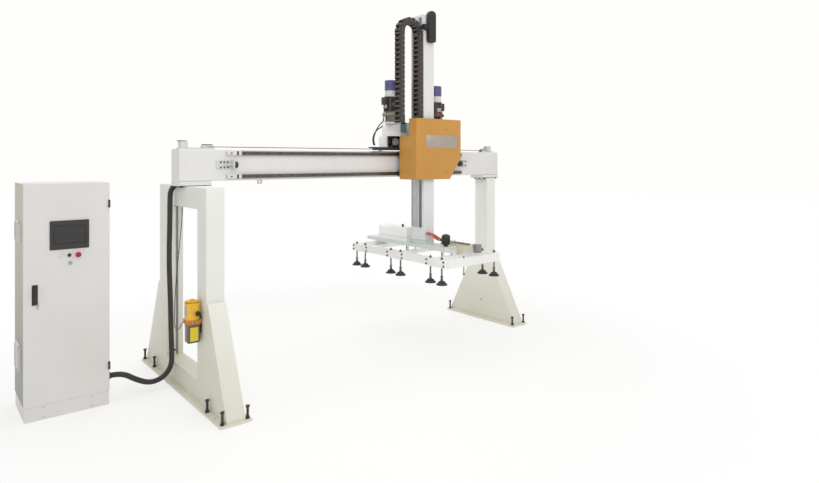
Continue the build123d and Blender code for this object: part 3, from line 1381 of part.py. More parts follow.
# Guide strip up the mast's side, the chain's foot bracket, and the cable elbow at the mast's head
strip_bottom = mast_bottom + 30.0
guide_offset = 6.5
guide_width = 100.0
guide_length = 340.0
guide_rise = 35.0
guide_gap = 8.0
guide_depth = 40.0
guide_pad_width = 60.0
guide_pad_height = 120.0
guide_crown = 38.0
guide_arm_drop = 145.0
guide_arm_length = 70.0
guide_arm_height = 56.0
strip_width = 75.0
strip_margin = 25.0
foot_plate = 10.0
guide_x = mast_x + guide_offset
guide_top = mast_top + guide_rise
guide_bottom = guide_top - guide_length
guide_arm_z = mast_top - guide_arm_drop
with BuildPart() as chain_guide:
    with BuildSketch(Plane.XY.offset(strip_bottom)):
        with Locations((mast_left - guide_strip / 2, z_chain_y + 36.0)):
            Rectangle(guide_strip, strip_width)
    extrude(amount=mast_top - strip_margin - strip_bottom)
    with BuildSketch(Plane.XY.offset(z_chain_foot - foot_plate)):
        with Locations((mast_left - (z_chain_height + guide_strip + 0.5) / 2, z_chain_y)):
            Rectangle(z_chain_height + guide_strip + 0.5, z_chain_width)
    extrude(amount=foot_plate)
    # Cable housing on the front of the mast's head, and the short arm towards the chain
    with BuildSketch(Plane.XZ.offset(-mast_front)):
        with Locations((guide_x, (guide_bottom + guide_top) / 2)):
            Rectangle(guide_pad_width, guide_pad_height)
    extrude(amount=guide_gap)
    with BuildSketch(Plane.XZ.offset(-mast_front + guide_gap)):
        with Locations((guide_x, (guide_bottom + guide_top) / 2)):
            Rectangle(guide_width, guide_top - guide_bottom)
        fillet([v for v in vertices() if v.Z > guide_top - 1], guide_crown)
    extrude(amount=guide_depth)
    with BuildSketch(Plane.YZ.offset(guide_x - guide_width / 2)):
        with Locations((mast_front - guide_gap - guide_depth / 2, guide_arm_z)):
            RectangleRounded(guide_depth - 4.0, guide_arm_height, 8.0)
    extrude(amount=-guide_arm_length)
save(chain_guide, "chain_guide")

# Gripper: spine under the mast, with hanger rods down to the welded bar frame
spine_drop = 65.0
spine_top = mast_bottom - spine_drop
spine_height = 35.0
spine_bottom = spine_top - spine_height
spine_width = 200.0
spine_near = -730.0
spine_far = 595.0
inner_bar_y = (-700.0, -120.0, 440.0)
inner_bar_top = bar_bottom + 40.0
rod_spacing = 100.0
rod_radius = 7.0
with BuildPart() as gripper_spine:
    with BuildSketch(Plane.XZ.offset(-spine_far)):
        with Locations((mast_x, spine_top - spine_height / 2)):
            Rectangle(spine_width, spine_height)
        with Locations((mast_x, spine_bottom + (spine_height - 12.0) / 2)):
            Rectangle(spine_width - 16.0, spine_height - 12.0, mode=Mode.SUBTRACT)
    extrude(amount=spine_far - spine_near)
    with BuildSketch(Plane.XY.offset(spine_top)):
        with Locations((mast_x, mast_mid_y)):
            RectangleRounded(mast_width, mast_depth, 10.0)
    extrude(amount=mast_bottom - flange_thickness - spine_top)
    for y in inner_bar_y:
        with BuildSketch(Plane.XY.offset(inner_bar_top)):
            with Locations((mast_x - rod_spacing / 2, y), (mast_x + rod_spacing / 2, y)):
                Circle(rod_radius)
        extrude(amount=spine_top - 12.0 - inner_bar_top)
save(gripper_spine, "gripper_spine")

bar_left_x = gripper_left + bar_width / 2
bar_right_x = gripper_right - bar_width / 2
clamp_bolt_radius = 4.5
clamp_bolt_rise = 40.0
clamp_bolt_inset = 20.0
clamp_bolt_reach = clamp_length - 2 * clamp_bolt_inset
with BuildPart() as gripper_bars:
    for x in (bar_left_x, bar_right_x):
        with BuildSketch(Plane.XZ.offset(-gripper_far + bar_width)):
            with Locations((x, bar_bottom + bar_height / 2)):
                Rectangle(bar_width, bar_height)
                Rectangle(bar_width - 2 * bar_wall, bar_height - 2 * bar_wall, mode=Mode.SUBTRACT)
        extrude(amount=gripper_far - gripper_near - 2 * bar_width)
    for y in (gripper_near + bar_width / 2, gripper_far - bar_width / 2):
        with BuildSketch(Plane.YZ.offset(gripper_left)):
            with Locations((y, bar_bottom + bar_height / 2)):
                Rectangle(bar_width, bar_height)
                Rectangle(bar_width - 2 * bar_wall, bar_height - 2 * bar_wall, mode=Mode.SUBTRACT)
        extrude(amount=gripper_right - gripper_left)
    for y in inner_bar_y:
        with BuildSketch(Plane.YZ.offset(gripper_left + bar_width)):
            with Locations((y, (bar_bottom + inner_bar_top) / 2)):
                Rectangle(bar_width, inner_bar_top - bar_bottom)
                Rectangle(bar_width - 2 * bar_wall, inner_bar_top - bar_bottom - 2 * bar_wall,
                          mode=Mode.SUBTRACT)
        extrude(amount=gripper_right - gripper_left - 2 * bar_width)
    for station in cup_stations:
        with BuildSketch(Plane.YZ.offset(gripper_left)):
            with Locations((station, bar_bottom + bar_height / 2)):
                with GridLocations(clamp_bolt_reach, clamp_bolt_rise, 2, 2):
                    Circle(clamp_bolt_radius)
        extrude(amount=gripper_right - gripper_left, mode=Mode.SUBTRACT)
    feeler_x = gripper_left + 217.0
    feeler_y = gripper_near + bar_width / 2
    feeler_radius = 6.0
    with BuildSketch(Plane.XY.offset(bar_bottom)):
        with Locations((feeler_x, feeler_y)):
            Circle(feeler_radius + shaft_clearance)
    extrude(amount=bar_height, mode=Mode.SUBTRACT)
save(gripper_bars, "gripper_bars")

# Clamps on the outer faces of the long bars, each guides two cup stems
clamp_out = clamp_thickness / 2
cup_left_x = gripper_left - clamp_out
cup_right_x = gripper_right + clamp_out
with BuildPart() as cup_clamps:
    for x in (cup_left_x, cup_right_x):
        for station in cup_stations:
            with BuildSketch(Plane.XY.offset(bar_bottom)):
                with Locations((x, station)):
                    Rectangle(clamp_thickness, clamp_length)
                for offset in (-cup_pitch / 2, cup_pitch / 2):
                    with Locations((x, station + offset)):
                        Circle(stem_radius + shaft_clearance, mode=Mode.SUBTRACT)
            extrude(amount=bar_height)
            with BuildSketch(Plane.YZ.offset(x - clamp_out)):
                with Locations((station, bar_bottom + bar_height / 2)):
                    with GridLocations(clamp_bolt_reach, clamp_bolt_rise, 2, 2):
                        Circle(clamp_bolt_radius)
            extrude(amount=clamp_thickness, mode=Mode.SUBTRACT)
save(cup_clamps, "cup_clamps")

# Suction cups: a stem with its stop nut and a rubber cup, in pairs that give when they land
cup_bottom = bar_bottom - cup_drop
cup_top = cup_bottom + cup_height
stem_top = bar_top + stem_rise
stop_gap = 0.3
with BuildPart(mode=Mode.PRIVATE) as cup:
    with BuildSketch(Plane.XZ):
        with BuildLine():
            Polyline((0, cup_top + 17.0), (stem_radius + 6.0, cup_top + 17.0),
                     (stem_radius + 6.0, cup_top), (26.0, cup_top - 6.0), (36.0, cup_top - 20.0),
                     (cup_radius - 6.0, cup_bottom + 16.0), (cup_radius, cup_bottom),
                     (cup_radius - 8.0, cup_bottom), (30.0, cup_bottom + 7.0), (0, cup_bottom + 7.0),
                     close=True)
        make_face()
    revolve(axis=Axis.Z)
    with BuildSketch(Plane.XY.offset(cup_top + 17.0)):
        Circle(stem_radius)
    extrude(amount=stem_top - cup_top - 17.0)
    with BuildSketch(Plane.XY.offset(bar_top + stop_gap)):
        RegularPolygon(12.0, 6, major_radius=False)
    extrude(amount=13.0)
for row, x in enumerate((cup_left_x, cup_right_x)):
    for index, station in enumerate(cup_stations):
        with BuildPart() as cup_pair:
            for offset in (-cup_pitch / 2, cup_pitch / 2):
                with Locations((x, station + offset, 0)):
                    add(cup.part)
        save(cup_pair, f"cup_pair_{row * len(cup_stations) + index + 1}")

with BuildPart() as feeler_rod:
    with BuildSketch(Plane.XY.offset(bar_bottom - 78.0)):
        with Locations((feeler_x, feeler_y)):
            Circle(feeler_radius)
    extrude(amount=bar_height + 78.0 + 22.0)
    with BuildSketch(Plane.XY.offset(bar_bottom - 90.0)):
        with Locations((feeler_x, feeler_y)):
            Circle(11.0)
    extrude(amount=20.0)
    fillet(feeler_rod.edges().filter_by(GeomType.CIRCLE).group_by(Axis.Z)[0], 6.0)
    with BuildSketch(Plane.XY.offset(bar_top + stop_gap)):
        with Locations((feeler_x, feeler_y)):
            Circle(10.0)
    extrude(amount=8.0)
save(feeler_rod, "feeler_rod")

# Vacuum valve unit behind the mast, its hood is rounded along the top
valve_near = -117.0
valve_far = 400.0
valve_width = 170.0
valve_height = 153.0
valve_top = spine_top + valve_height
valve_knob_y = 40.0
with BuildPart() as valve_box:
    with BuildSketch(Plane.XZ.offset(-valve_far)):
        with Locations((mast_x, (spine_top + valve_top) / 2)):
            Rectangle(valve_width, valve_top - spine_top)
        fillet([v for v in vertices() if v.Z > valve_top - 1], 55.0)
    extrude(amount=valve_far - valve_near)
    with BuildSketch(Plane.XY.offset(valve_top)):
        with Locations((mast_x, valve_knob_y)):
            Circle(12.0)
    extrude(amount=26.0)
save(valve_box, "valve_box")

# Vacuum filter at the spine's near end, and the hoses from the mast's foot to it
filter_x = mast_x + 20.5
filter_y = -660.0
filter_radius = 47.0
filter_height = 128.0
filter_top = spine_top + filter_height
with BuildPart() as vacuum_filter:
    with BuildSketch(Plane.XY.offset(spine_top)):
        with Locations((filter_x, filter_y)):
            Circle(22.0)
    extrude(amount=35.0)
    with BuildSketch(Plane.XY.offset(spine_top + 35.0)):
        with Locations((filter_x, filter_y)):
            Circle(filter_radius)
    extrude(amount=filter_top - spine_top - 35.0)
    fillet(vacuum_filter.faces().sort_by(Axis.Z)[-1].edges(), 12.0)
    with BuildSketch(Plane.XZ.offset(-filter_y - filter_radius + 8.0)):
        with Locations((filter_x - 14.0, spine_top + 62.0), (filter_x + 22.0, spine_top + 62.0)):
            Circle(15.0)
    extrude(amount=-28.0)
save(vacuum_filter, "vacuum_filter")

hose_radius = 13.0
hose_bend = 34.0
hose_end_y = filter_y + filter_radius + 20.0
hose_port_z = spine_top + 62.0
with BuildPart() as vacuum_hoses:
    for start_x, end_x, start_z in ((mast_x - 36.0, filter_x - 14.0, mast_bottom + 55.0),
                                    (mast_x + 6.0, filter_x + 22.0, mast_bottom + 40.0)):
        with BuildLine() as hose_line:
            FilletPolyline((start_x, mast_front, start_z), (start_x, mast_front - 52.0, start_z),
                           (end_x, hose_end_y + 62.0, hose_port_z), (end_x, hose_end_y, hose_port_z),
                           radius=hose_bend)
        with BuildSketch(Plane(origin=hose_line.line @ 0, z_dir=hose_line.line % 0)):
            Circle(hose_radius)
        sweep()
        # Hexagonal fitting on the mast's foot
        with BuildSketch(Plane.XZ.offset(-mast_front)):
            with Locations((start_x, start_z)):
                RegularPolygon(18.0, 6)
        extrude(amount=14.0)
save(vacuum_hoses, "vacuum_hoses")

# Pusher: a guided pneumatic cylinder over the near cross bars
pusher_inset = 180.0
pusher_setback = 160.0
pusher_length = 385.0
pusher_x = gripper_right - pusher_inset
pusher_near = gripper_near + pusher_setback
pusher_far = pusher_near + pusher_length
pusher_size = 60.0
pusher_bottom = bar_top + 6.0
pusher_axis_z = pusher_bottom + pusher_size / 2
piston_rod_radius = 9.0
guide_rod_radius = 6.0
guide_rod_z = pusher_bottom + pusher_size + 14.0
with BuildPart() as push_cylinder:
    with BuildSketch(Plane.XZ.offset(-pusher_far)):
        with Locations((pusher_x, pusher_axis_z)):
            RectangleRounded(pusher_size, pusher_size, 8.0)
    extrude(amount=pusher_far - pusher_near)
    for y in (pusher_far - 30.0, pusher_near + 30.0):
        with BuildSketch(Plane.XZ.offset(-y)):
            with Locations((pusher_x, guide_rod_z - 5.0)):
                RectangleRounded(76.0, 38.0, 6.0)
        extrude(amount=15.0, both=True)
    for side in (-1, 1):
        with BuildSketch(Plane.XZ.offset(-pusher_far)):
            with Locations((pusher_x + side * 24.0, guide_rod_z)):
                Circle(guide_rod_radius + shaft_clearance)
        extrude(amount=pusher_far - pusher_near, mode=Mode.SUBTRACT)
    with BuildSketch(Plane.XZ.offset(-pusher_near)):
        with Locations((pusher_x, pusher_axis_z)):
            Circle(piston_rod_radius + shaft_clearance)
    extrude(amount=-220.0, mode=Mode.SUBTRACT)
    # Foot on the inner cross bar
    with BuildSketch(Plane.XY.offset(inner_bar_top)):
        with Locations((pusher_x, inner_bar_y[0])):
            Rectangle(pusher_size - 10.0, bar_width)
    extrude(amount=pusher_bottom - inner_bar_top)
save(push_cylinder, "push_cylinder")

head_near = pusher_near - 45.0
with BuildPart() as cylinder_rod:
    with BuildSketch(Plane.XZ.offset(-pusher_near + 0.3)):
        with Locations((pusher_x, pusher_axis_z + 14.0)):
            RectangleRounded(76.0, 84.0, 6.0)
    extrude(amount=45.0)
    with BuildSketch(Plane.XZ.offset(-pusher_near + 0.3)):
        with Locations((pusher_x, pusher_axis_z)):
            Circle(piston_rod_radius)
    extrude(amount=-200.0)
    for side in (-1, 1):
        with BuildSketch(Plane.XZ.offset(-pusher_near + 0.3)):
            with Locations((pusher_x + side * 24.0, guide_rod_z)):
                Circle(guide_rod_radius)
        extrude(amount=-(pusher_far - pusher_near) + 20.0)
save(cylinder_rod, "cylinder_rod")
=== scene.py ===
import bmesh
import bpy
import math
from mathutils import Matrix, Vector


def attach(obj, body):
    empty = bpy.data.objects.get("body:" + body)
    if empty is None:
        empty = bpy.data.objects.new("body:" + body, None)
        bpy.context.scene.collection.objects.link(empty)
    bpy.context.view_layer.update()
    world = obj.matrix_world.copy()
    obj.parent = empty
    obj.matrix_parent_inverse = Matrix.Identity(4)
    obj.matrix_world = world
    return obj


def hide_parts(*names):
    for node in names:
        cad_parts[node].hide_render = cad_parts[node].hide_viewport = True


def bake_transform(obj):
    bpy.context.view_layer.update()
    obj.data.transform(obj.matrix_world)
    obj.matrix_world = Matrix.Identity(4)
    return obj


# Panel-lifting gantry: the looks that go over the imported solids.
# Lengths in the helpers below are millimetres, in the frame of the solids.
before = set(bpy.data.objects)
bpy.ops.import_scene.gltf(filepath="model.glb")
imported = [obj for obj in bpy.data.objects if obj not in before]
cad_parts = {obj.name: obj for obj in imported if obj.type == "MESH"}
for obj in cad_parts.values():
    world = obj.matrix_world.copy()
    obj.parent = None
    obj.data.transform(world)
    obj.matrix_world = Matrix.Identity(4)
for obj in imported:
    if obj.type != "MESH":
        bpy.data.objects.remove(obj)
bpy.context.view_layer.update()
MM = 0.001

# Camera: level, at the height of an eye on a platform, turned towards the carriage
lens = bpy.data.cameras.new("camera")
lens.sensor_width = 36.0
lens.lens = 26.46
lens.shift_y = -0.1001
lens.clip_end = 100.0
camera = bpy.data.objects.new("camera", lens)
camera.location = (-1.872, -5.317, 2.000)
camera.rotation_euler = (math.radians(90.0), 0.0, math.radians(-39.45))
bpy.context.collection.objects.link(camera)
bpy.context.scene.camera = camera


# Materials
def linear(colour):
    """The linear colour of an sRGB hex value."""
    parts = [int(colour[i:i + 2], 16) / 255 for i in (1, 3, 5)]
    return [c / 12.92 if c <= 0.04045 else ((c + 0.055) / 1.055) ** 2.4 for c in parts] + [1.0]


def node(tree, kind, settings=None, links=None):
    """Adds a node; settings name its sockets or its own properties, links name its sockets."""
    made = tree.nodes.new(kind)
    for key, value in (settings or {}).items():
        if isinstance(key, int) or key in made.inputs:
            made.inputs[key].default_value = value
        else:
            setattr(made, key, value)
    for key, source in (links or {}).items():
        tree.links.new(source, made.inputs[key])
    return made


def blank_material(name):
    material = bpy.data.materials.new(name)
    material.use_nodes = True
    material.node_tree.nodes.clear()
    return material, material.node_tree


def painted(name, colour, shade, roughness=0.42, peel=0.03, cloud=1.3, coat=0.0):
    """Sprayed and baked paint on sheet: orange peel 3 mm wide, faint clouds of tone, fine dust specks."""
    material, tree = blank_material(name)
    place = node(tree, "ShaderNodeTexCoord").outputs["Object"]
    clouds = node(tree, "ShaderNodeTexNoise", {"Scale": cloud, "Detail": 4.0}, {"Vector": place})
    specks = node(tree, "ShaderNodeTexNoise", {"Scale": 120.0, "Detail": 2.0}, {"Vector": place})
    tone = node(tree, "ShaderNodeValToRGB", links={"Fac": clouds.outputs["Fac"]})
    tone.color_ramp.elements[0].position = 0.35
    tone.color_ramp.elements[0].color = linear(shade)
    tone.color_ramp.elements[1].position = 0.65
    tone.color_ramp.elements[1].color = linear(colour)
    gloss = node(tree, "ShaderNodeMapRange", {"From Min": 0.3, "From Max": 0.7,
                 "To Min": roughness - 0.06, "To Max": roughness + 0.08}, {"Value": specks.outputs["Fac"]})
    skin = node(tree, "ShaderNodeTexNoise", {"Scale": 330.0, "Detail": 1.0}, {"Vector": place})
    bump = node(tree, "ShaderNodeBump", {"Strength": peel, "Distance": 0.001}, {"Height": skin.outputs["Fac"]})
    shader = node(tree, "ShaderNodeBsdfPrincipled", {"Coat Weight": coat, "Coat Roughness": 0.2, "IOR": 1.5},
                  {"Base Color": tone.outputs["Color"], "Roughness": gloss.outputs["Result"],
                   "Normal": bump.outputs["Normal"]})
    node(tree, "ShaderNodeOutputMaterial", links={"Surface": shader.outputs["BSDF"]})
    return material


def machined(name, colour, shade, roughness=0.3, along=(1.0, 60.0, 60.0), pitch=0.5):
    """Ground, drawn or turned metal: fine tool lines along one axis, about the given pitch in mm."""
    material, tree = blank_material(name)
    place = node(tree, "ShaderNodeTexCoord").outputs["Object"]
    turned = node(tree, "ShaderNodeMapping", {"Scale": along}, {"Vector": place})
    lines = node(tree, "ShaderNodeTexNoise", {"Scale": 10.0 / pitch, "Detail": 5.0, "Roughness": 0.6},
                 {"Vector": turned.outputs["Vector"]})
    blotch = node(tree, "ShaderNodeTexNoise", {"Scale": 9.0, "Detail": 3.0}, {"Vector": place})
    mixed = node(tree, "ShaderNodeMix", {"data_type": "RGBA", 6: linear(shade), 7: linear(colour)},
                 {0: blotch.outputs["Fac"]})
    gloss = node(tree, "ShaderNodeMapRange", {"From Min": 0.3, "From Max": 0.7,
                 "To Min": roughness - 0.08, "To Max": roughness + 0.12}, {"Value": lines.outputs["Fac"]})
    bump = node(tree, "ShaderNodeBump", {"Strength": 0.12, "Distance": 0.0005}, {"Height": lines.outputs["Fac"]})
    shader = node(tree, "ShaderNodeBsdfPrincipled", {"Metallic": 1.0},
                  {"Base Color": mixed.outputs[2], "Roughness": gloss.outputs["Result"],
                   "Normal": bump.outputs["Normal"]})
    node(tree, "ShaderNodeOutputMaterial", links={"Surface": shader.outputs["BSDF"]})
    return material


def moulded(name, colour, shade, roughness=0.5, grain=0.08, size=1.2, ior=1.5):
    """Moulded plastic or rubber: a spark-eroded grain of the given size in mm, and slight wear of tone."""
    material, tree = blank_material(name)
    place = node(tree, "ShaderNodeTexCoord").outputs["Object"]
    wear = node(tree, "ShaderNodeTexNoise", {"Scale": 14.0, "Detail": 5.0}, {"Vector": place})
    mixed = node(tree, "ShaderNodeMix", {"data_type": "RGBA", 6: linear(colour), 7: linear(shade)},
                 {0: wear.outputs["Fac"]})
    pits = node(tree, "ShaderNodeTexVoronoi", {"Scale": 1000.0 / size}, {"Vector": place})
    bump = node(tree, "ShaderNodeBump", {"Strength": grain, "Distance": 0.0005},
                {"Height": pits.outputs["Distance"]})
    gloss = node(tree, "ShaderNodeMapRange", {"From Min": 0.3, "From Max": 0.7,
                 "To Min": roughness - 0.05, "To Max": roughness + 0.1}, {"Value": wear.outputs["Fac"]})
    shader = node(tree, "ShaderNodeBsdfPrincipled", {"IOR": ior},
                  {"Base Color": mixed.outputs[2], "Roughness": gloss.outputs["Result"],
                   "Normal": bump.outputs["Normal"]})
    node(tree, "ShaderNodeOutputMaterial", links={"Surface": shader.outputs["BSDF"]})
    return material


def along_z(fine):
    return (fine, fine, 1.0)


frame_enamel = painted("baked_enamel_cream_white", "#e9e8e7", "#dfdfde")
bar_enamel = painted("gripper_enamel_white", "#f8f8f6", "#f0f0ee")
# The spine's green tint is a painted reflection on its pale enamel
spine_enamel = painted("gripper_spine_enamel_pale_green_reflection", "#dfe7e1", "#d2dcd5", cloud=5.0)
cylinder_enamel = painted("cylinder_enamel_cream", "#e0dccb", "#d2cdba", cloud=8.0)
column_enamel = painted("baked_enamel_cream_white_columns_shaded_foot", "#f2f3ef", "#eaebe5", cloud=0.9)
cabinet_powder = painted("powder_coat_warm_grey", "#e6e4e3", "#dfdddb", roughness=0.5, peel=0.07)
# The cabinet body's copy of the door's powder coat; it gets painted shade on its left side sheet
body_powder = painted("powder_coat_warm_grey_body_shaded_side", "#e6e4e3", "#dfdddb", roughness=0.5, peel=0.07)
hood_enamel = painted("cover_enamel_ochre", "#cf9744", "#c68e3d", roughness=0.38)
mast_enamel = painted("mast_enamel_white", "#eaebeb", "#e1e2e3", roughness=0.35)
drive_enamel = painted("drive_frame_enamel_black", "#26262a", "#1c1c1f", roughness=0.45)
box_enamel = painted("gearbox_enamel_white", "#fdfefe", "#f6f9fa", roughness=0.35)
hood_gloss = painted("valve_hood_gloss_white", "#fafbfa", "#f3f5f4", roughness=0.2, peel=0.02, coat=0.6)
# The rails' dark brown-grey is painted reflection: it stands in for the dark hall that the polished steel mirrors
rail_steel = machined("ground_rail_steel", "#6f6a63", "#57524c", roughness=0.3)
lift_rail_steel = machined("ground_rail_steel_upright", "#9a9a9c", "#77787c", roughness=0.28, along=along_z(60.0))
block_steel = machined("milled_block_steel", "#a3a3a3", "#808184", roughness=0.35, along=(20.0, 20.0, 20.0))
oiled_steel = machined("hobbed_gear_steel", "#7d7873", "#5e5a57", roughness=0.35, along=(30.0, 30.0, 30.0))
zinc_sheet = machined("zinc_plated_sheet", "#b9bbbc", "#9ea1a4", roughness=0.4, along=(12.0, 12.0, 12.0))
black_bolt = moulded("blackened_bolt_steel", "#221f20", "#3a3535", roughness=0.4, grain=0.03)
anodised = machined("anodised_aluminium_clear", "#d3d5d6", "#bfc2c5", roughness=0.38, along=(60.0, 1.0, 60.0))
plate_anodised = machined("anodised_aluminium_plate", "#bdbfc2", "#a4a7ab", roughness=0.42, along=(60.0, 60.0, 1.0))
chain_nylon = moulded("glass_filled_nylon_black_brown", "#322d29", "#453e38", roughness=0.5)
chain_bar_nylon = moulded("glass_filled_nylon_bar", "#4b453f", "#5d564f", roughness=0.45)
chain_pin_nylon = moulded("glass_filled_nylon_pin", "#655f57", "#746d64", roughness=0.4)
dark_abs = moulded("moulded_abs_charcoal", "#2e2a29", "#3a3635", roughness=0.42)
black_gloss = moulded("filter_bowl_black_gloss", "#1d1b1b", "#262423", roughness=0.16, grain=0.0)
black_abs = moulded("moulded_abs_black", "#1b1919", "#2a2727", roughness=0.42)
cup_rubber = moulded("nitrile_rubber_black", "#2a2827", "#3d3a38", roughness=0.62, grain=0.15)
belt_rubber = moulded("toothed_belt_polyurethane", "#3b3633", "#57504b", roughness=0.55, grain=0.1)
conduit_nylon = moulded("corrugated_conduit_nylon", "#2c2825", "#3c3733", roughness=0.55)
blue_cowl = moulded("moulded_polypropylene_blue", "#494b7b", "#585a8d", roughness=0.35, grain=0.03)
motor_casting = painted("die_cast_motor_grey", "#aaa497", "#8d877c", roughness=0.5, peel=0.15, cloud=14.0)
motor_iron = painted("motor_body_brown_black", "#4a443e", "#3b3631", roughness=0.45, peel=0.1, cloud=14.0)
rust_casting = painted("die_cast_flange_primer_red", "#7c5750", "#66453f", roughness=0.5, peel=0.15, cloud=14.0)
motor_bell = painted("motor_end_bell_white", "#dddcd8", "#cfceca", roughness=0.4, peel=0.1, cloud=14.0)
pump_enamel = painted("pump_enamel_yellow", "#f3c338", "#e7b22b", roughness=0.4, peel=0.1, cloud=20.0)
pump_flange_enamel = painted("pump_flange_enamel_orange", "#dd8622", "#cc701b", roughness=0.4, peel=0.1, cloud=20.0)
smoked_bottle = moulded("smoked_polycarbonate_bottle", "#74675a", "#5a4e44", roughness=0.2, grain=0.02)
label_film = painted("blank_label_film_yellow", "#eedb3c", "#e4cf33", roughness=0.3, peel=0.0)
blue_film = painted("blank_label_film_blue", "#8db4cc", "#7ba6c2", roughness=0.3, peel=0.0)
plate_film = machined("brushed_nameplate_aluminium", "#b9aea6", "#a4998f", roughness=0.35, along=(1.0, 60.0, 60.0))
green_abs = moulded("moulded_push_button_white", "#e4e6e0", "#d4d8d0", roughness=0.35, grain=0.02)
red_abs = moulded("moulded_push_button_red", "#b2202c", "#98161f", roughness=0.32, grain=0.02)
orange_hose = moulded("polyurethane_hose_orange", "#d2602f", "#c04a22", roughness=0.35, grain=0.02)
red_hose = moulded("polyurethane_hose_red", "#9a2c22", "#b3402e", roughness=0.35, grain=0.02)
grey_cable = moulded("pvc_cable_grey", "#6b6966", "#7d7a77", roughness=0.5, grain=0.03)
black_cable = moulded("pvc_cable_black", "#232122", "#312e2f", roughness=0.5, grain=0.03)
screen_glass = moulded("screen_glass_dark", "#322f30", "#2a2829", roughness=0.1, grain=0.0)
bracket_zinc = painted("zinc_flake_bracket_light", "#dcdddb", "#cfd1d0", roughness=0.4, cloud=12.0)
pulley_finish = painted("hard_anodised_pulley_light", "#dedcd6", "#cbc8c1", roughness=0.35, cloud=14.0)
chain_cable = moulded("pvc_cable_dark_grey", "#3a3632", "#48433e", roughness=0.5, grain=0.03)
strip_steel = machined("ground_strip_steel_dark", "#7c7f82", "#5c5f62", roughness=0.25, along=along_z(60.0))
back_strip = machined("zinc_strip_grey", "#c2c5c0", "#aeb1ac", roughness=0.42, along=along_z(40.0))
green_bracket = painted("bracket_enamel_dark_green", "#355a50", "#2b4a43", roughness=0.45, cloud=20.0)


def brighten_left_end(material, low, colour):
    """Makes a rail's colour light left of a station in metres; right of it the rail keeps its darker colour, which is
    painted reflection.
    """
    tree = material.node_tree
    shader = next(made for made in tree.nodes if made.type == "BSDF_PRINCIPLED")
    darker_rest = shader.inputs["Base Color"].links[0].from_socket
    place = node(tree, "ShaderNodeTexCoord").outputs["Object"]
    along = node(tree, "ShaderNodeSeparateXYZ", links={"Vector": place}).outputs["X"]
    run = node(tree, "ShaderNodeMapRange", {"From Min": low - 0.01, "From Max": low}, {"Value": along})
    mixed = node(tree, "ShaderNodeMix", {"data_type": "RGBA", 6: linear(colour)}, {0: run.outputs["Result"], 7: darker_rest})
    tree.links.new(mixed.outputs[2], shader.inputs["Base Color"])


def paint_shade_by_height(material, low, high, shade_low, shade_high, side=None):
    """Multiplies a finish by a painted shade that changes with height between two levels in metres; side keeps the
    painted shade to the sheet left of that station.
    """
    tree = material.node_tree
    shader = next(made for made in tree.nodes if made.type == "BSDF_PRINCIPLED")
    unshaded = shader.inputs["Base Color"].links[0].from_socket
    place = node(tree, "ShaderNodeTexCoord").outputs["Object"]
    parts = node(tree, "ShaderNodeSeparateXYZ", links={"Vector": place})
    rise = node(tree, "ShaderNodeMapRange", {"From Min": low, "From Max": high, "interpolation_type": "SMOOTHSTEP"},
                {"Value": parts.outputs["Z"]})
    tone = node(tree, "ShaderNodeMix", {"data_type": "RGBA", 6: linear(shade_low), 7: linear(shade_high)},
                {0: rise.outputs["Result"]})
    shaded = node(tree, "ShaderNodeMix", {"data_type": "RGBA", "blend_type": "MULTIPLY", 0: 1.0},
                  {6: unshaded, 7: tone.outputs[2]})
    if side is not None:
        sheet = node(tree, "ShaderNodeMath", {"operation": "LESS_THAN", 1: side}, {0: parts.outputs["X"]})
        tree.links.new(sheet.outputs["Value"], shaded.inputs[0])
    tree.links.new(shaded.outputs[2], shader.inputs["Base Color"])


brighten_left_end(rail_steel, 0.43, "#d8d6d2")
# Painted shade: the columns darker and a little yellower towards their feet, where the wedges' faces lie in shade
paint_shade_by_height(column_enamel, 0.1, 1.15, "#eeebe0", "#ffffff")
# Painted shade: the cabinet's left side sheet darker and greener grey, most towards the floor, as it lies in shade
paint_shade_by_height(body_powder, 0.1, 1.7, "#a9aea5", "#dcdaca", side=-1.2345)


def dress(node_name, material):
    """Gives a solid of the frame its finish."""
    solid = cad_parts[node_name]
    solid.data.materials.clear()
    solid.data.materials.append(material)


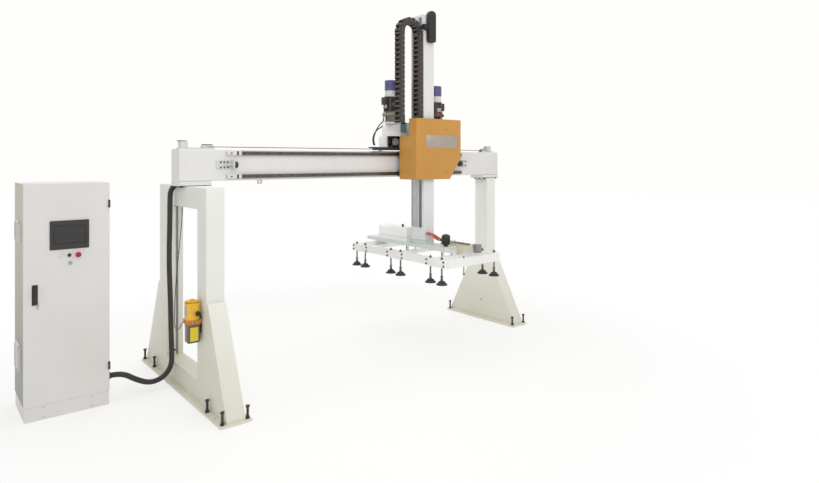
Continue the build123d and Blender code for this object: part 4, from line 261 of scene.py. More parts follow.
for nodes, material in (
    (("left_column", "right_column"), column_enamel),
    (("beam", "beam_fittings"), frame_enamel),
    (("frame_bolts", "x_buffers"), black_bolt),
    (("x_rails",), rail_steel),
    (("beam_brackets",), bracket_zinc),
    (("chain_tray", "chain_arms"), zinc_sheet),
    (("cabinet",), body_powder),
    (("cabinet_door",), cabinet_powder),
    (("control_gear",), zinc_sheet),
    (("operator_panel",), dark_abs),
    (("door_handle",), black_abs),
    (("mode_selector",), black_abs),
    (("key_switch",), zinc_sheet),
    (("start_button",), green_abs),
    (("stop_button",), red_abs),
    (("carriage_plate",), plate_anodised),
    (("bearing_blocks",), block_steel),
    (("carriage_cover",), hood_enamel),
    (("x_drive_frame",), drive_enamel),
    (("gearboxes",), box_enamel),
    (("encoder_caps",), blue_cowl),
    (("drive_pulley",), pulley_finish),
    (("belt_idler_left", "belt_idler_right"), block_steel),
    (("z_pinion", "z_rack"), oiled_steel),
    (("mast",), mast_enamel),
    (("z_rails",), lift_rail_steel),
    (("gripper_spine",), spine_enamel),
    (("gripper_bars",), bar_enamel),
    (("cup_clamps",), bar_enamel),
    (("push_cylinder",), cylinder_enamel),
    (("cylinder_rod", "feeler_rod"), block_steel),
    (("vacuum_filter",), black_abs),
    (("valve_box",), box_enamel),
    (("drive_motors",), motor_casting),
    (("lubricator",), pump_enamel),
    (("chain_guide",), black_abs),
    (("x_chain_bend", "z_chain_bend", "x_chain_lower", "x_chain_upper"), chain_nylon),
    (("z_chain_left_leg", "z_chain_right_leg"), chain_nylon),
    (("x_belt", "belt_loop"), belt_rubber),
    (("vacuum_hoses",), orange_hose),
    (("conduit",), conduit_nylon),
    (("cabinet_fittings",), cabinet_powder),
    (tuple(f"cup_pair_{i}" for i in range(1, 7)), cup_rubber),
):
    for name in nodes:
        dress(name, material)


# Shapes
def piece_from(shape, name, material, body, hides=(), smooth=True, angle=35.0):
    """Turns a shape in millimetres into a piece that rides on a body."""
    bmesh.ops.scale(shape, vec=(MM, MM, MM), verts=shape.verts)
    bmesh.ops.recalc_face_normals(shape, faces=shape.faces)
    mesh = bpy.data.meshes.new(name)
    shape.to_mesh(mesh)
    shape.free()
    return piece_of_mesh(mesh, name, material, body, hides, smooth, angle)


def piece_of_mesh(mesh, name, material, body, hides=(), smooth=True, angle=35.0):
    piece = bpy.data.objects.new(name, mesh)
    bpy.context.collection.objects.link(piece)
    mesh.materials.clear()
    mesh.materials.append(material)
    if smooth:
        mesh.shade_smooth()
        mesh.set_sharp_from_angle(angle=math.radians(angle))
    if hides:
        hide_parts(*hides)
    if body:
        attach(piece, body)
    return piece


def block(shape, low, high, bevel=0.0, steps=2):
    """A box between two corners, with rounded edges."""
    size = [b - a for a, b in zip(low, high)]
    middle = [(a + b) / 2 for a, b in zip(low, high)]
    made = bmesh.ops.create_cube(shape, size=1.0)["verts"]
    bmesh.ops.scale(shape, vec=size, verts=made)
    bmesh.ops.translate(shape, vec=middle, verts=made)
    if bevel:
        edges = list({e for v in made for e in v.link_edges})
        bmesh.ops.bevel(shape, geom=edges, offset=bevel, segments=steps, affect="EDGES", profile=0.5)


AXES = {"x": (1, 2, 0), "y": (0, 2, 1), "z": (0, 1, 2)}


def at(axis, across, along):
    """A point from its two coordinates across an axis and the one along it."""
    first, second, third = AXES[axis]
    point = [0.0, 0.0, 0.0]
    point[first], point[second], point[third] = across[0], across[1], along
    return point


def lathe(shape, centre, axis, profile, steps=32, start=0.0, sweep=360.0):
    """Turns (radius, station) pairs about an axis; radius 0 closes a pole."""
    rings = []
    closed = sweep >= 359.9
    count = steps if closed else steps + 1
    for radius, station in profile:
        if radius <= 0:
            rings.append([shape.verts.new(at(axis, centre, station))])
            continue
        ring = []
        for i in range(count):
            turn = math.radians(start + sweep * i / steps)
            across = (centre[0] + radius * math.cos(turn), centre[1] + radius * math.sin(turn))
            ring.append(shape.verts.new(at(axis, across, station)))
        rings.append(ring)
    for low, high in zip(rings, rings[1:]):
        if len(low) == 1 and len(high) == 1:
            continue
        spans = range(steps)
        for i in spans:
            j = (i + 1) % count
            if len(low) == 1:
                shape.faces.new((low[0], high[i], high[j]))
            elif len(high) == 1:
                shape.faces.new((low[i], high[0], low[j]))
            else:
                shape.faces.new((low[i], high[i], high[j], low[j]))


def prism(shape, outline, axis, low, high):
    """An outline across an axis, drawn out between two stations."""
    bottom = [shape.verts.new(at(axis, p, low)) for p in outline]
    top = [shape.verts.new(at(axis, p, high)) for p in outline]
    shape.faces.new(bottom)
    shape.faces.new(list(reversed(top)))
    for i in range(len(outline)):
        j = (i + 1) % len(outline)
        shape.faces.new((bottom[j], bottom[i], top[i], top[j]))


def rounded(width, height, radius, centre=(0.0, 0.0), steps=4):
    """The outline of a rectangle with round corners."""
    points = []
    for sx, sy, begin in ((1, 1, 0), (-1, 1, 90), (-1, -1, 180), (1, -1, 270)):
        cx = centre[0] + sx * (width / 2 - radius)
        cy = centre[1] + sy * (height / 2 - radius)
        for i in range(steps + 1):
            turn = math.radians(begin + 90 * i / steps)
            points.append((cx + radius * math.cos(turn), cy + radius * math.sin(turn)))
    return points


def smooth_line(points, order=3):
    """Points along the smooth spline whose control points are given, in millimetres."""
    curve = bpy.data.curves.new("line", "CURVE")
    curve.dimensions = "3D"
    curve.resolution_u = 8
    spline = curve.splines.new("NURBS")
    spline.points.add(len(points) - 1)
    for target, source in zip(spline.points, points):
        target.co = (*source, 1.0)
    spline.order_u = order
    spline.use_endpoint_u = True
    holder = bpy.data.objects.new("line", curve)
    bpy.context.collection.objects.link(holder)
    bpy.context.view_layer.update()
    mesh = bpy.data.meshes.new_from_object(holder.evaluated_get(bpy.context.evaluated_depsgraph_get()))
    line = [Vector(v.co) for v in mesh.vertices]
    bpy.data.objects.remove(holder)
    bpy.data.curves.remove(curve)
    bpy.data.meshes.remove(mesh)
    return line


def even(line, step):
    """The same line with points an even step apart."""
    lengths = [0.0]
    for a, b in zip(line, line[1:]):
        lengths.append(lengths[-1] + (b - a).length)
    count = max(2, round(lengths[-1] / step))
    points, index = [], 0
    for i in range(count + 1):
        want = lengths[-1] * i / count
        while index < len(line) - 2 and lengths[index + 1] < want:
            index += 1
        span = lengths[index + 1] - lengths[index]
        points.append(line[index].lerp(line[index + 1], (want - lengths[index]) / max(span, 1e-9)))
    return points


def hose(shape, line, radius, steps=12, ribs=0.0):
    """A tube along a line; ribs alternates the radius from point to point, as on corrugated conduit."""
    normal = None
    rings = []
    for i, point in enumerate(line):
        ahead = line[min(i + 1, len(line) - 1)] - line[max(i - 1, 0)]
        ahead.normalize()
        if normal is None:
            normal = ahead.orthogonal().normalized()
        normal = (normal - ahead * normal.dot(ahead)).normalized()
        other = ahead.cross(normal)
        here = radius - (ribs if i % 2 else 0.0)
        ring = []
        for k in range(steps):
            turn = 2 * math.pi * k / steps
            ring.append(shape.verts.new(point + (normal * math.cos(turn) + other * math.sin(turn)) * here))
        rings.append(ring)
    for low, high in zip(rings, rings[1:]):
        for k in range(steps):
            j = (k + 1) % steps
            shape.faces.new((low[k], low[j], high[j], high[k]))
    shape.faces.new(list(reversed(rings[0])))
    shape.faces.new(rings[-1])


# Trees that repeat a small part
def placing_tree(along_path):
    """Repeats a part on points that carry a facing, or along a path at an even pitch."""
    tree = bpy.data.node_groups.new("row_on_path" if along_path else "set_on_points", "GeometryNodeTree")
    sockets = {}
    for name, kind in (("Places", "Geometry"), ("Part", "Object"), ("Pitch", "Float"), ("Finish", "Material")):
        sockets[name] = tree.interface.new_socket(name, in_out="INPUT", socket_type=f"NodeSocket{kind}")
    tree.interface.new_socket("Row", in_out="OUTPUT", socket_type="NodeSocketGeometry")
    given = node(tree, "NodeGroupInput").outputs
    part = node(tree, "GeometryNodeObjectInfo", {"transform_space": "ORIGINAL"}, {"Object": given["Part"]})
    if along_path:
        curve = node(tree, "GeometryNodeMeshToCurve", links={"Mesh": given["Places"]})
        points = node(tree, "GeometryNodeCurveToPoints", {"mode": "LENGTH"},
                      {"Curve": curve.outputs[0], "Length": given["Pitch"]})
        place, facing = points.outputs["Points"], points.outputs["Tangent"]
        turn = node(tree, "FunctionNodeAlignRotationToVector", {"axis": "X", "pivot_axis": "Y"},
                    {"Vector": facing})
    else:
        place = given["Places"]
        facing = node(tree, "GeometryNodeInputNamedAttribute", {"data_type": "FLOAT_VECTOR", "Name": "facing"})
        turn = node(tree, "FunctionNodeAlignRotationToVector", {"axis": "Z"},
                    {"Vector": facing.outputs["Attribute"]})
    spread = node(tree, "GeometryNodeInstanceOnPoints", links={"Points": place,
                  "Instance": part.outputs["Geometry"], "Rotation": turn.outputs["Rotation"]})
    whole = node(tree, "GeometryNodeRealizeInstances", links={"Geometry": spread.outputs["Instances"]})
    finish = node(tree, "GeometryNodeSetMaterial", links={"Geometry": whole.outputs["Geometry"],
                  "Material": given["Finish"]})
    node(tree, "NodeGroupOutput", links={"Row": finish.outputs["Geometry"]})
    return tree, {name: socket.identifier for name, socket in sockets.items()}


on_points = placing_tree(False)
on_path = placing_tree(True)


def repeated(tree_and_names, places, facings, part_shape, material, pitch=0.0, join=False):
    """The mesh that a tree makes of a small part at the given places, in millimetres."""
    tree, names = tree_and_names
    part_mesh = bpy.data.meshes.new("part")
    bmesh.ops.scale(part_shape, vec=(MM, MM, MM), verts=part_shape.verts)
    bmesh.ops.recalc_face_normals(part_shape, faces=part_shape.faces)
    part_shape.to_mesh(part_mesh)
    part_shape.free()
    part = bpy.data.objects.new("part", part_mesh)
    base_mesh = bpy.data.meshes.new("places")
    edges = [(i, i + 1) for i in range(len(places) - 1)] if join else []
    base_mesh.from_pydata([Vector(p) * MM for p in places], edges, [])
    if facings:
        layer = base_mesh.attributes.new("facing", "FLOAT_VECTOR", "POINT")
        for i, facing in enumerate(facings):
            layer.data[i].vector = facing
    base = bpy.data.objects.new("places", base_mesh)
    for holder in (part, base):
        bpy.context.collection.objects.link(holder)
    modifier = base.modifiers.new("row", "NODES")
    modifier.node_group = tree
    modifier[names["Part"]] = part
    modifier[names["Pitch"]] = pitch * MM
    modifier[names["Finish"]] = material
    bpy.context.view_layer.update()
    done = bpy.data.meshes.new_from_object(base.evaluated_get(bpy.context.evaluated_depsgraph_get()))
    base.modifiers.remove(modifier)
    bpy.data.objects.remove(base)
    bpy.data.objects.remove(part)
    return done


def socket_screw(diameter):
    """A socket head screw, its head stands on the origin and points along +Z."""
    shape = bmesh.new()
    head, tall = diameter * 0.75, diameter
    lathe(shape, (0, 0), "z", [(head, 0.0), (head, tall * 0.9), (head * 0.9, tall), (head * 0.55, tall)], 12)
    lathe(shape, (0, 0), "z", [(head * 0.55, tall), (head * 0.5, tall * 0.45), (0, tall * 0.45)], 12)
    bmesh.ops.remove_doubles(shape, verts=shape.verts, dist=0.001)
    return shape


def hex_head(diameter):
    """A hexagon head with a washer."""
    shape = bmesh.new()
    lathe(shape, (0, 0), "z", [(diameter, 0.0), (diameter, 1.5), (diameter * 0.86, 1.5)], 12)
    lathe(shape, (0, 0), "z", [(diameter * 0.86, 1.5), (diameter * 0.86, diameter * 0.65),
          (diameter * 0.7, diameter * 0.72), (0, diameter * 0.72)], 6)
    return shape


def pan_head(diameter):
    """A flat round screw head with a cross recess."""
    shape = bmesh.new()
    lathe(shape, (0, 0), "z", [(diameter, 0.0), (diameter * 0.95, diameter * 0.35),
          (diameter * 0.6, diameter * 0.55), (diameter * 0.3, diameter * 0.5), (0, diameter * 0.3)], 10)
    return shape


def screws(name, kind, diameter, places, facing, material, body):
    """A set of like screws on one body."""
    facings = [facing] * len(places) if isinstance(facing, tuple) else facing
    mesh = repeated(on_points, places, facings, kind(diameter), material)
    return piece_of_mesh(mesh, name, material, body)


# Conduit: nylon conduit from the beam's tray down to the cabinet, in one loose bend over the floor
conduit_route = [
    (195.0, 145.0, 1844.0), (-123.0, 145.0, 1844.0), (-123.0, 145.0, 1500.0), (-119.0, 186.0, 1100.0),
    (-105.0, 190.0, 760.0), (-103.0, 180.0, 480.0), (-102.0, 166.0, 310.0), (-102.0, 160.0, 172.0),
    (-172.0, 156.0, 82.0), (-284.0, 152.0, 58.0), (-400.0, 148.0, 112.0), (-516.0, 145.0, 200.0),
    (-607.0, 145.0, 200.0),
]
conduit_line = even(smooth_line(conduit_route), 5.0)
shape = bmesh.new()
hose(shape, conduit_line, 23.0, steps=20, ribs=1.8)
conduit = piece_from(shape, "conduit_corrugated", conduit_nylon, "stand", ["conduit"])


# Energy chains: links with two side plates and crossbars, cables run inside
def chain_link(pitch, width, height, kind):
    """One link: X along the chain, Y across it, Z towards its outer side."""
    link = bmesh.new()
    if kind == "plates":
        for side in (-1, 1):
            outer = rounded(pitch * 0.985, height, height * 0.1, (0, 0), 3)
            low, high = sorted((side * width / 2, side * (width / 2 - 5.0)))
            prism(link, outer, "y", low, high)
            step = rounded(pitch * 0.46, height * 0.8, height * 0.12, (pitch * 0.26, 0), 3)
            low, high = sorted((side * width / 2, side * (width / 2 + 1.2)))
            prism(link, step, "y", low, high)
            tongue = rounded(pitch * 0.9, height * 0.72, height * 0.3, (pitch * 0.5, 0), 3)
            low, high = sorted((side * (width / 2 - 5.2), side * (width / 2 - 8.0)))
            prism(link, tongue, "y", low, high)
    elif kind == "pins":
        for side in (-1, 1):
            lathe(link, (pitch * 0.5, 0), "y", [(7.0, side * (width / 2 - 4.0)), (7.0, side * (width / 2 + 1.4)),
                  (5.0, side * (width / 2 + 2.0)), (0, side * (width / 2 + 2.0))], 8)
    else:
        for side in (-1, 1):
            top = side * (height / 2 - 2.5)
            block(link, (-pitch * 0.17, -width / 2 + 3.0, top - 2.5), (pitch * 0.17, width / 2 - 3.0, top + 2.5), 1.0)
    return link


def chain(name, path, pitch, width, height, body, hides=(), blend=None, inner=4):
    """Side plates, crossbars and cables along a path; each is a mesh of its own."""
    made = []
    for kind, material in (("plates", chain_nylon), ("crossbars", chain_bar_nylon), ("pins", chain_pin_nylon)):
        mesh = repeated(on_path, path, None, chain_link(pitch, width, height, kind), material, pitch, join=True)
        row = piece_of_mesh(mesh, f"{name}_{kind}", material, None, hides if kind == "plates" else ())
        made.append(row)
    cables = bmesh.new()
    reach = (width - 26.0) / 2
    for i in range(inner):
        offset = -reach + 2 * reach * i / (inner - 1)
        radius = (8.5, 6.0, 7.5, 5.0)[i % 4]
        line = [Vector(p) + Vector((0, offset, 0)) for p in path]
        hose(cables, line, radius, steps=8)
    made.append(piece_from(cables, f"{name}_cables", chain_cable, None))
    for row in made:
        if blend:
            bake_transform(row)
        else:
            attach(row, body)
    return made


def straight(start, end, step):
    """Points from start to end, an even step apart."""
    count = max(1, round((Vector(end) - Vector(start)).length / step))
    return [tuple(Vector(start).lerp(Vector(end), i / count)) for i in range(count + 1)]


def half_turn(centre, radius, begin, end, count):
    """Points on an arc in the XZ plane."""
    points = []
    for i in range(count + 1):
        turn = math.radians(begin + (end - begin) * i / count)
        points.append((centre[0] + radius * math.cos(turn), centre[1], centre[2] + radius * math.sin(turn)))
    return points


lift_y, lift_left, lift_right, lift_turn, lift_foot = -358.0, 2076.5, 2326.5, 3352.0, 2385.0
lift_pitch = (lift_turn - lift_foot) / 20
lift_reach = lift_turn - lift_foot
chain("lift_chain_left", straight((lift_left, lift_y, lift_foot + lift_pitch / 2),
      (lift_left, lift_y, lift_turn - lift_pitch / 2), lift_pitch), lift_pitch, 84.0, 70.0, None,
      ["z_chain_left_leg"],
      ("carriage", "z_bend", (0, 0, lift_foot * MM), (0, 0, lift_turn * MM)))
chain("lift_chain_right", straight((lift_right, lift_y, lift_turn - lift_pitch / 2),
      (lift_right, lift_y, lift_foot + lift_pitch / 2), lift_pitch), lift_pitch, 84.0, 70.0, None,
      ["z_chain_right_leg"],
      ("carriage", "mast_slide", (0, 0, (2 * lift_turn - lift_foot) * MM), (0, 0, lift_foot * MM)))
chain("lift_chain_turn", half_turn(((lift_left + lift_right) / 2, lift_y, lift_turn), 125.0, 178.0, 2.0, 8),
      392.7 / 8, 84.0, 70.0, "z_bend", ["z_chain_bend"])

long_y, long_low, long_high, long_mid = 145.0, 1836.8, 2026.8, 1931.8
long_pitch = 45.0
chain("beam_chain_lower", straight((1490.0 + long_pitch / 2, long_y, long_low),
      (2435.0 - long_pitch / 2, long_y, long_low), long_pitch), long_pitch, 60.0, 45.0, None,
      ["x_chain_lower"],
      ("stand", "x_bend", (1.490, 0, 0), (2.435, 0, 0)), 3)
chain("beam_chain_upper", straight((2435.0 - long_pitch / 2, long_y, long_high),
      (2200.0 + long_pitch / 2, long_y, long_high), long_pitch), long_pitch, 60.0, 45.0, None,
      ["x_chain_upper"],
      ("stand", "carriage", (2.670, 0, 0), (2.200, 0, 0)), 3)
chain("beam_chain_turn", half_turn((2435.0, long_y, long_mid), 95.0, -88.0, 88.0, 7),
      298.5 / 7, 60.0, 45.0, "x_bend", ["x_chain_bend"], inner=3)


# Toothed belt: 10 mm pitch, teeth face down on the runs and inwards on the loop
def belt_run(name, start, end, hides):
    """A flat run on the beam: one ribbon with its teeth, cut at every half pitch."""
    ribbon = bmesh.new()
    length = end - start
    count = round(length / 10.0)
    outline = []
    for i in range(count):
        x = start + length * i / count
        step = length / count
        outline += [(x, 2113.5), (x + step * 0.3, 2113.5), (x + step * 0.4, 2111.0), (x + step * 0.8, 2111.0)]
    for low, high in zip(outline, outline[1:] + [(end, 2113.5)]):
        v = [ribbon.verts.new((x, y, z)) for x, y, z in (
            (low[0], -25, low[1]), (high[0], -25, high[1]), (high[0], -25, 2116.5), (low[0], -25, 2116.5),
            (low[0], 25, low[1]), (high[0], 25, high[1]), (high[0], 25, 2116.5), (low[0], 25, 2116.5))]
        for corners in ((0, 1, 2, 3), (7, 6, 5, 4), (4, 5, 1, 0), (3, 2, 6, 7)):
            ribbon.faces.new([v[c] for c in corners])
    bmesh.ops.remove_doubles(ribbon, verts=ribbon.verts, dist=0.01)
    bmesh.ops.holes_fill(ribbon, edges=[e for e in ribbon.edges if e.is_boundary])
    piece = piece_from(ribbon, name, belt_rubber, None, hides, smooth=False)
    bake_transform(piece)


belt_run("belt_run_left", 155.0, 2215.2, ["x_belt"])
belt_run("belt_run_right", 2340.8, 3720.0, [])


def drum(name, material, body, turns, steps=32, hides=(), angle=35.0):
    """One piece of several turned shapes, each (centre, axis, profile)."""
    shape = bmesh.new()
    for centre, axis, profile in turns:
        lathe(shape, centre, axis, profile, steps)
    return piece_from(shape, name, material, body, hides, angle=angle)


def boxes(name, material, body, corners, bevel=0.0, hides=()):
    """One piece of several boxes, each given by two corners."""
    shape = bmesh.new()
    for low, high in corners:
        block(shape, low, high, bevel)
    return piece_from(shape, name, material, body, hides)


def pipes(name, material, body, radius, lines, hides=(), steps=10):
    """One piece of several smooth hoses."""
    shape = bmesh.new()
    for line in lines:
        hose(shape, even(smooth_line(line), 8.0), radius, steps)
    return piece_from(shape, name, material, body, hides)


# Servo motors: gearhead, square flange, ribbed body, white end bell, blue cowl, connector box
motors = (("long_axis", 2215.0, -20.0, 2407.0, -1, 123), ("lift", 2642.0, -292.0, 2349.0, 1, 172))
for label, x, y, base, side, neck in motors:
    flange = bmesh.new()
    prism(flange, rounded(130, 130, 14, (x, y)), "z", base, base + 14)
    lathe(flange, (x, y), "z", [(50, base + 14), (50, base + 20), (44, base + 26), (44, base + neck - 54),
                                (56, base + neck - 46)])
    prism(flange, rounded(146, 140, 18, (x, y)), "z", base + neck - 46, base + neck - 17)
    lathe(flange, (x, y), "z", [(62, base + neck - 17), (62, base + neck - 10), (57, base + neck - 6),
                                (57, base + neck)])
    for k in range(8):
        turn = math.radians(22.5 + 45 * k)
        across = Vector((-math.sin(turn), math.cos(turn), 0)) * 3.0
        inner = Vector((x + 40 * math.cos(turn), y + 40 * math.sin(turn), 0))
        outer = Vector((x + 60 * math.cos(turn), y + 60 * math.sin(turn), 0))
        prism(flange, [(inner + across)[:2], (outer + across)[:2], (outer - across)[:2], (inner - across)[:2]],
              "z", base + 14, base + neck - 46)
    if side < 0:
        prism(flange, rounded(52, 60, 12, (x - 82, y - 10)), "z", base + neck - 44, base + neck - 19)
        lathe(flange, (y - 10, base + neck - 31), "x", [(0, x - 110), (9, x - 110), (9, x - 96), (0, x - 96)], 12)
    piece_from(flange, f"{label}_motor_flange", rust_casting if side > 0 else motor_casting, "carriage",
               ["drive_motors"] if side < 0 else ())
    body = bmesh.new()
    prism(body, rounded(108, 108, 24, (x, y)), "z", base + neck, base + 287)
    for k in range(9):
        for low, high in (((x - 50 + 12.5 * k - 2.2, y - 57), (x - 50 + 12.5 * k + 2.2, y + 57)),
                          ((x - 57, y - 50 + 12.5 * k - 2.2), (x + 57, y - 50 + 12.5 * k + 2.2))):
            if 1 < k < 7:
                block(body, (*low, base + neck + 7), (*high, base + 281))
    piece_from(body, f"{label}_motor_body", motor_iron, "carriage")
    drum(f"{label}_motor_bell", motor_bell, "carriage",
         [((x, y), "z", [(0, base + 287), (64, base + 287), (67, base + 290), (67, base + 298), (62, base + 350),
                         (61, base + 356), (0, base + 356)])], 48)
    drum(f"{label}_motor_cowl", blue_cowl, "carriage",
         [((x, y), "z", [(0, base + 356), (64, base + 356), (64, base + 359), (67, base + 360), (67, base + 374),
                         (65.5, base + 376), (66, base + 462), (60, base + 469), (48, base + 470), (0, base + 470)])],
         48, ["encoder_caps"] if side < 0 else ())
    box = x + side * 76
    boxes(f"{label}_motor_connector_box", dark_abs, "carriage",
          [((box - 26, y - 38, base + 196), (box + 26, y + 38, base + 280)),
           ((box - 29, y - 41, base + 236), (box + 29, y + 41, base + 240))], 5.0)
    drum(f"{label}_motor_connectors", zinc_sheet, "carriage",
         [((box, y + dy), "z", [(0, base + 158), (13, base + 158), (15, base + 161), (15, base + 172), (12, base + 174),
                                (12, base + 196)]) for dy in (-18, 18)], 20)
    screws(f"{label}_motor_bolts", socket_screw, 8.0,
           [(x + dx, y + dy, z) for dx in (-52, 52) for dy in (-52, 52) for z in (base + 14, base + neck - 17)],
           (0, 0, 1), black_bolt, "carriage")
    screws(f"{label}_bell_screws", socket_screw, 5.0,
           [(x + 65.5 * math.cos(math.radians(t)), y + 65.5 * math.sin(math.radians(t)), base + 294)
            for t in (45, 135, 225, 315)],
           [(math.cos(math.radians(t)), math.sin(math.radians(t)), 0) for t in (45, 135, 225, 315)],
           zinc_sheet, "carriage")
pipes("motor_cables", black_cable, "carriage", 6.5, [
    [(2139, -38, 2565), (2139, -38, 2500), (2120, -60, 2440), (2075, -110, 2400), (2010, -120, 2345),
     (1968, -110, 2325), (1925, -100, 2270), (1915, -90, 2200), (1940, -84, 2154)],
    [(2139, -2, 2565), (2139, -2, 2510), (2120, -20, 2450), (2080, -60, 2415), (2020, -70, 2372),
     (1985, -74, 2330), (1950, -74, 2260), (1940, -72, 2200), (1962, -72, 2154)],
    [(2718, -310, 2507), (2718, -310, 2480), (2720, -300, 2440), (2722, -270, 2400)],
    [(2718, -274, 2507), (2718, -274, 2480), (2716, -260, 2440), (2712, -240, 2400)],
])
boxes("motor_nameplates", plate_film, "carriage",
      [((2186, -79.2, 2590), (2244, -77.6, 2630)), ((2613, -351.2, 2532), (2671, -349.6, 2572))])

# Chain brackets and the covered gearbox
boxes("lift_chain_foot_bracket", green_bracket, "carriage",
      [((2056, -400, 2280), (2136, -394, 2387)), ((2056, -400, 2383), (2136, -330, 2387))], 1.5)
screws("lift_chain_foot_screws", socket_screw, 6.0, [(x, -400, z) for x in (2070, 2122) for z in (2296, 2330)],
       (0, -1, 0), zinc_sheet, "carriage")
boxes("drive_frame_side_sheet", box_enamel, "carriage",
      [((2147.5, -42, 2134), (2150, 110, 2257)), ((2147.5, -42, 2134), (2163, -40, 2257))])
drum("pulley_hub_cap", pulley_finish, "pulley",
     [((2278, 2197), "y", [(0, -44), (14, -44), (16, -42), (16, -36), (40, -34), (44, -32), (44, -30.4), (0, -30.4)])],
     40)
screws("gearbox_cover_screws", pan_head, 4.0,
       [(x, -170.0, z) for x in (2036, 2090, 2145) for z in (2268, 2396)], (0, -1, 0), zinc_sheet,
       "carriage")
screws("gearbox_base_screws", socket_screw, 8.0, [(2156.0, -42.0, z) for z in (2172, 2198, 2224, 2250)],
       (0, -1, 0), black_bolt, "carriage")

# Blank nameplate on the cover, its rivets, and the cover's screws
boxes("cover_nameplate", plate_film, "carriage", [((2354, -462.6, 2126), (2812, -461.0, 2266))], 0.6)
screws("nameplate_rivets", pan_head, 2.6,
       [(x, -462.6, z) for x in (2364, 2437, 2510, 2583, 2656, 2729, 2802) for z in (2134, 2258)],
       (0, -1, 0), zinc_sheet, "carriage")
screws("cover_front_screws", socket_screw, 6.0, [(2643, -461, 2326), (2643, -461, 1860)], (0, -1, 0), black_bolt,
       "carriage")
screws("cover_side_screws", pan_head, 4.0, [(2226, y, z) for y in (-200, -430) for z in (1840, 2210)],
       (-1, 0, 0), zinc_sheet, "carriage")

# Cable guide on the mast's head, the sliding strip beside the mast, the chain's foot plate
guide = bmesh.new()
prism(guide, [(x, z) for x, z in rounded(100, 340, 38, (2444, 3430), 6)], "y", -464, -424)
for k in range(12):
    block(guide, (2391.5, -466.5, 3272 + 24 * k), (2496.5, -424, 3279 + 24 * k), 2.0)
for side in (-1, 1):
    block(guide, (2444 + 22 * side - 5, -467, 3300), (2444 + 22 * side + 5, -462, 3560), 2.0)
prism(guide, [(y, z) for y, z in rounded(36, 56, 12, (-444, 3420))], "x", 2322, 2394)
for k in range(4):
    prism(guide, [(y, z) for y, z in rounded(42, 62, 14, (-444, 3420))], "x", 2330 + 16 * k, 2336 + 16 * k)
block(guide, (2414, -424, 3379), (2474, -416, 3499))
piece_from(guide, "cable_guide_head", black_abs, "mast_slide", ["chain_guide"])
for label, finish, front, back in (("dark", strip_steel, -375, -332), ("grey", back_strip, -320, -222)):
    boxes(f"mast_side_strip_{label}", finish, "mast_slide",
          [((2363, front, low), (2365, back, high)) for low, high in ((1262, 2370), (2390, 3540))], 0.4)
screws("mast_side_screws", socket_screw, 5.0, [(2365, -396, 1284 + 210 * k) for k in range(11) if k not in (5,)],
       (-1, 0, 0), zinc_sheet, "mast_slide")
boxes("lift_chain_end_plate", zinc_sheet, "mast_slide",
      [((2291.5, -400, 2375), (2365, -316, 2385))], 1.0)

# Lubricator: reservoir, flange, smoked pump housing, blank labels, knob and outlet fittings
lube = bmesh.new()
prism(lube, rounded(104, 100, 26, (-142, -455), 6), "z", 713, 846)
prism(lube, rounded(104, 100, 26, (-142, -455), 6), "z", 846, 850)
rings = [(102, 98, 25, 850), (97, 93, 24, 858), (86, 82, 22, 864)]
for wide, deep, radius, level in rings:
    prism(lube, rounded(wide, deep, radius, (-142, -455), 6), "z", level - 5, level)
lathe(lube, (-142, -455), "z", [(16, 862), (16, 872), (13, 875), (0, 875)], 24)
piece_from(lube, "lubricator_reservoir", pump_enamel, "stand", ["lubricator"])
flange = bmesh.new()
prism(flange, rounded(114, 116, 12, (-140, -455)), "z", 689, 713)
prism(flange, rounded(106, 108, 12, (-140, -455)), "z", 677, 689)
piece_from(flange, "lubricator_flange", pump_flange_enamel, "stand")
pump = bmesh.new()
prism(pump, rounded(96, 90, 10, (-140, -455)), "z", 534, 677)
prism(pump, rounded(88, 82, 8, (-140, -455)), "z", 530, 534)
piece_from(pump, "lubricator_pump_housing", smoked_bottle, "stand")
boxes("lubricator_bracket", zinc_sheet, "stand", [((-83, -513, 603), (-75, -397, 751))], 1.0)
boxes("lubricator_label_yellow", label_film, "stand", [((-172, -500.6, 545), (-108, -500.0, 655))])
boxes("lubricator_label_blue", blue_film, "stand", [((-194.6, -478, 742), (-194.0, -434, 822))])
drum("lubricator_knob", black_abs, "stand",
     [((-116, 765), "y", [(0, -505), (8, -505), (8, -512), (19, -512), (19, -530), (16, -533), (0, -533)])], 24)
drum("lubricator_outlets", zinc_sheet, "stand",
     [((-155, 700), "y", [(0, -513), (9, -513), (9, -521), (6, -523), (6, -530), (0, -530)]),
      ((-130, 700), "y", [(0, -513), (9, -513), (9, -521), (6, -523), (6, -530), (0, -530)])], 12)
screws("lubricator_flange_screws", socket_screw, 6.0,
       [(x, y, 713.0) for x in (-190, -90) for y in (-505, -405)], (0, 0, 1), zinc_sheet, "stand")
pipes("grease_lines", black_cable, "stand", 3.2, [
    [(68, 386, 1588), (66, 380, 1500), (20, 311, 1258), (-50, 209, 914), (-96, 110, 660), (-118, 50, 566),
     (-146, -80, 548), (-186, -280, 600), (-206, -400, 676), (-206, -436, 700), (-194, -440, 702)],
])
pipes("portal_grease_pipe", grey_cable, "stand", 7.0, [
    [(19, 382.6, 195), (19, 382.6, 600), (19, 382.6, 1100), (19, 382.6, 1582)]])
boxes("portal_pipe_fittings", zinc_sheet, "stand",
      [((x - 8, 372, 1570), (x + 8, 390, 1590)) for x in (0, 19, 40, 68)]
      + [((8, 372, z), (30, 390, z + 12)) for z in (420, 760, 1100, 1400)], 1.5)

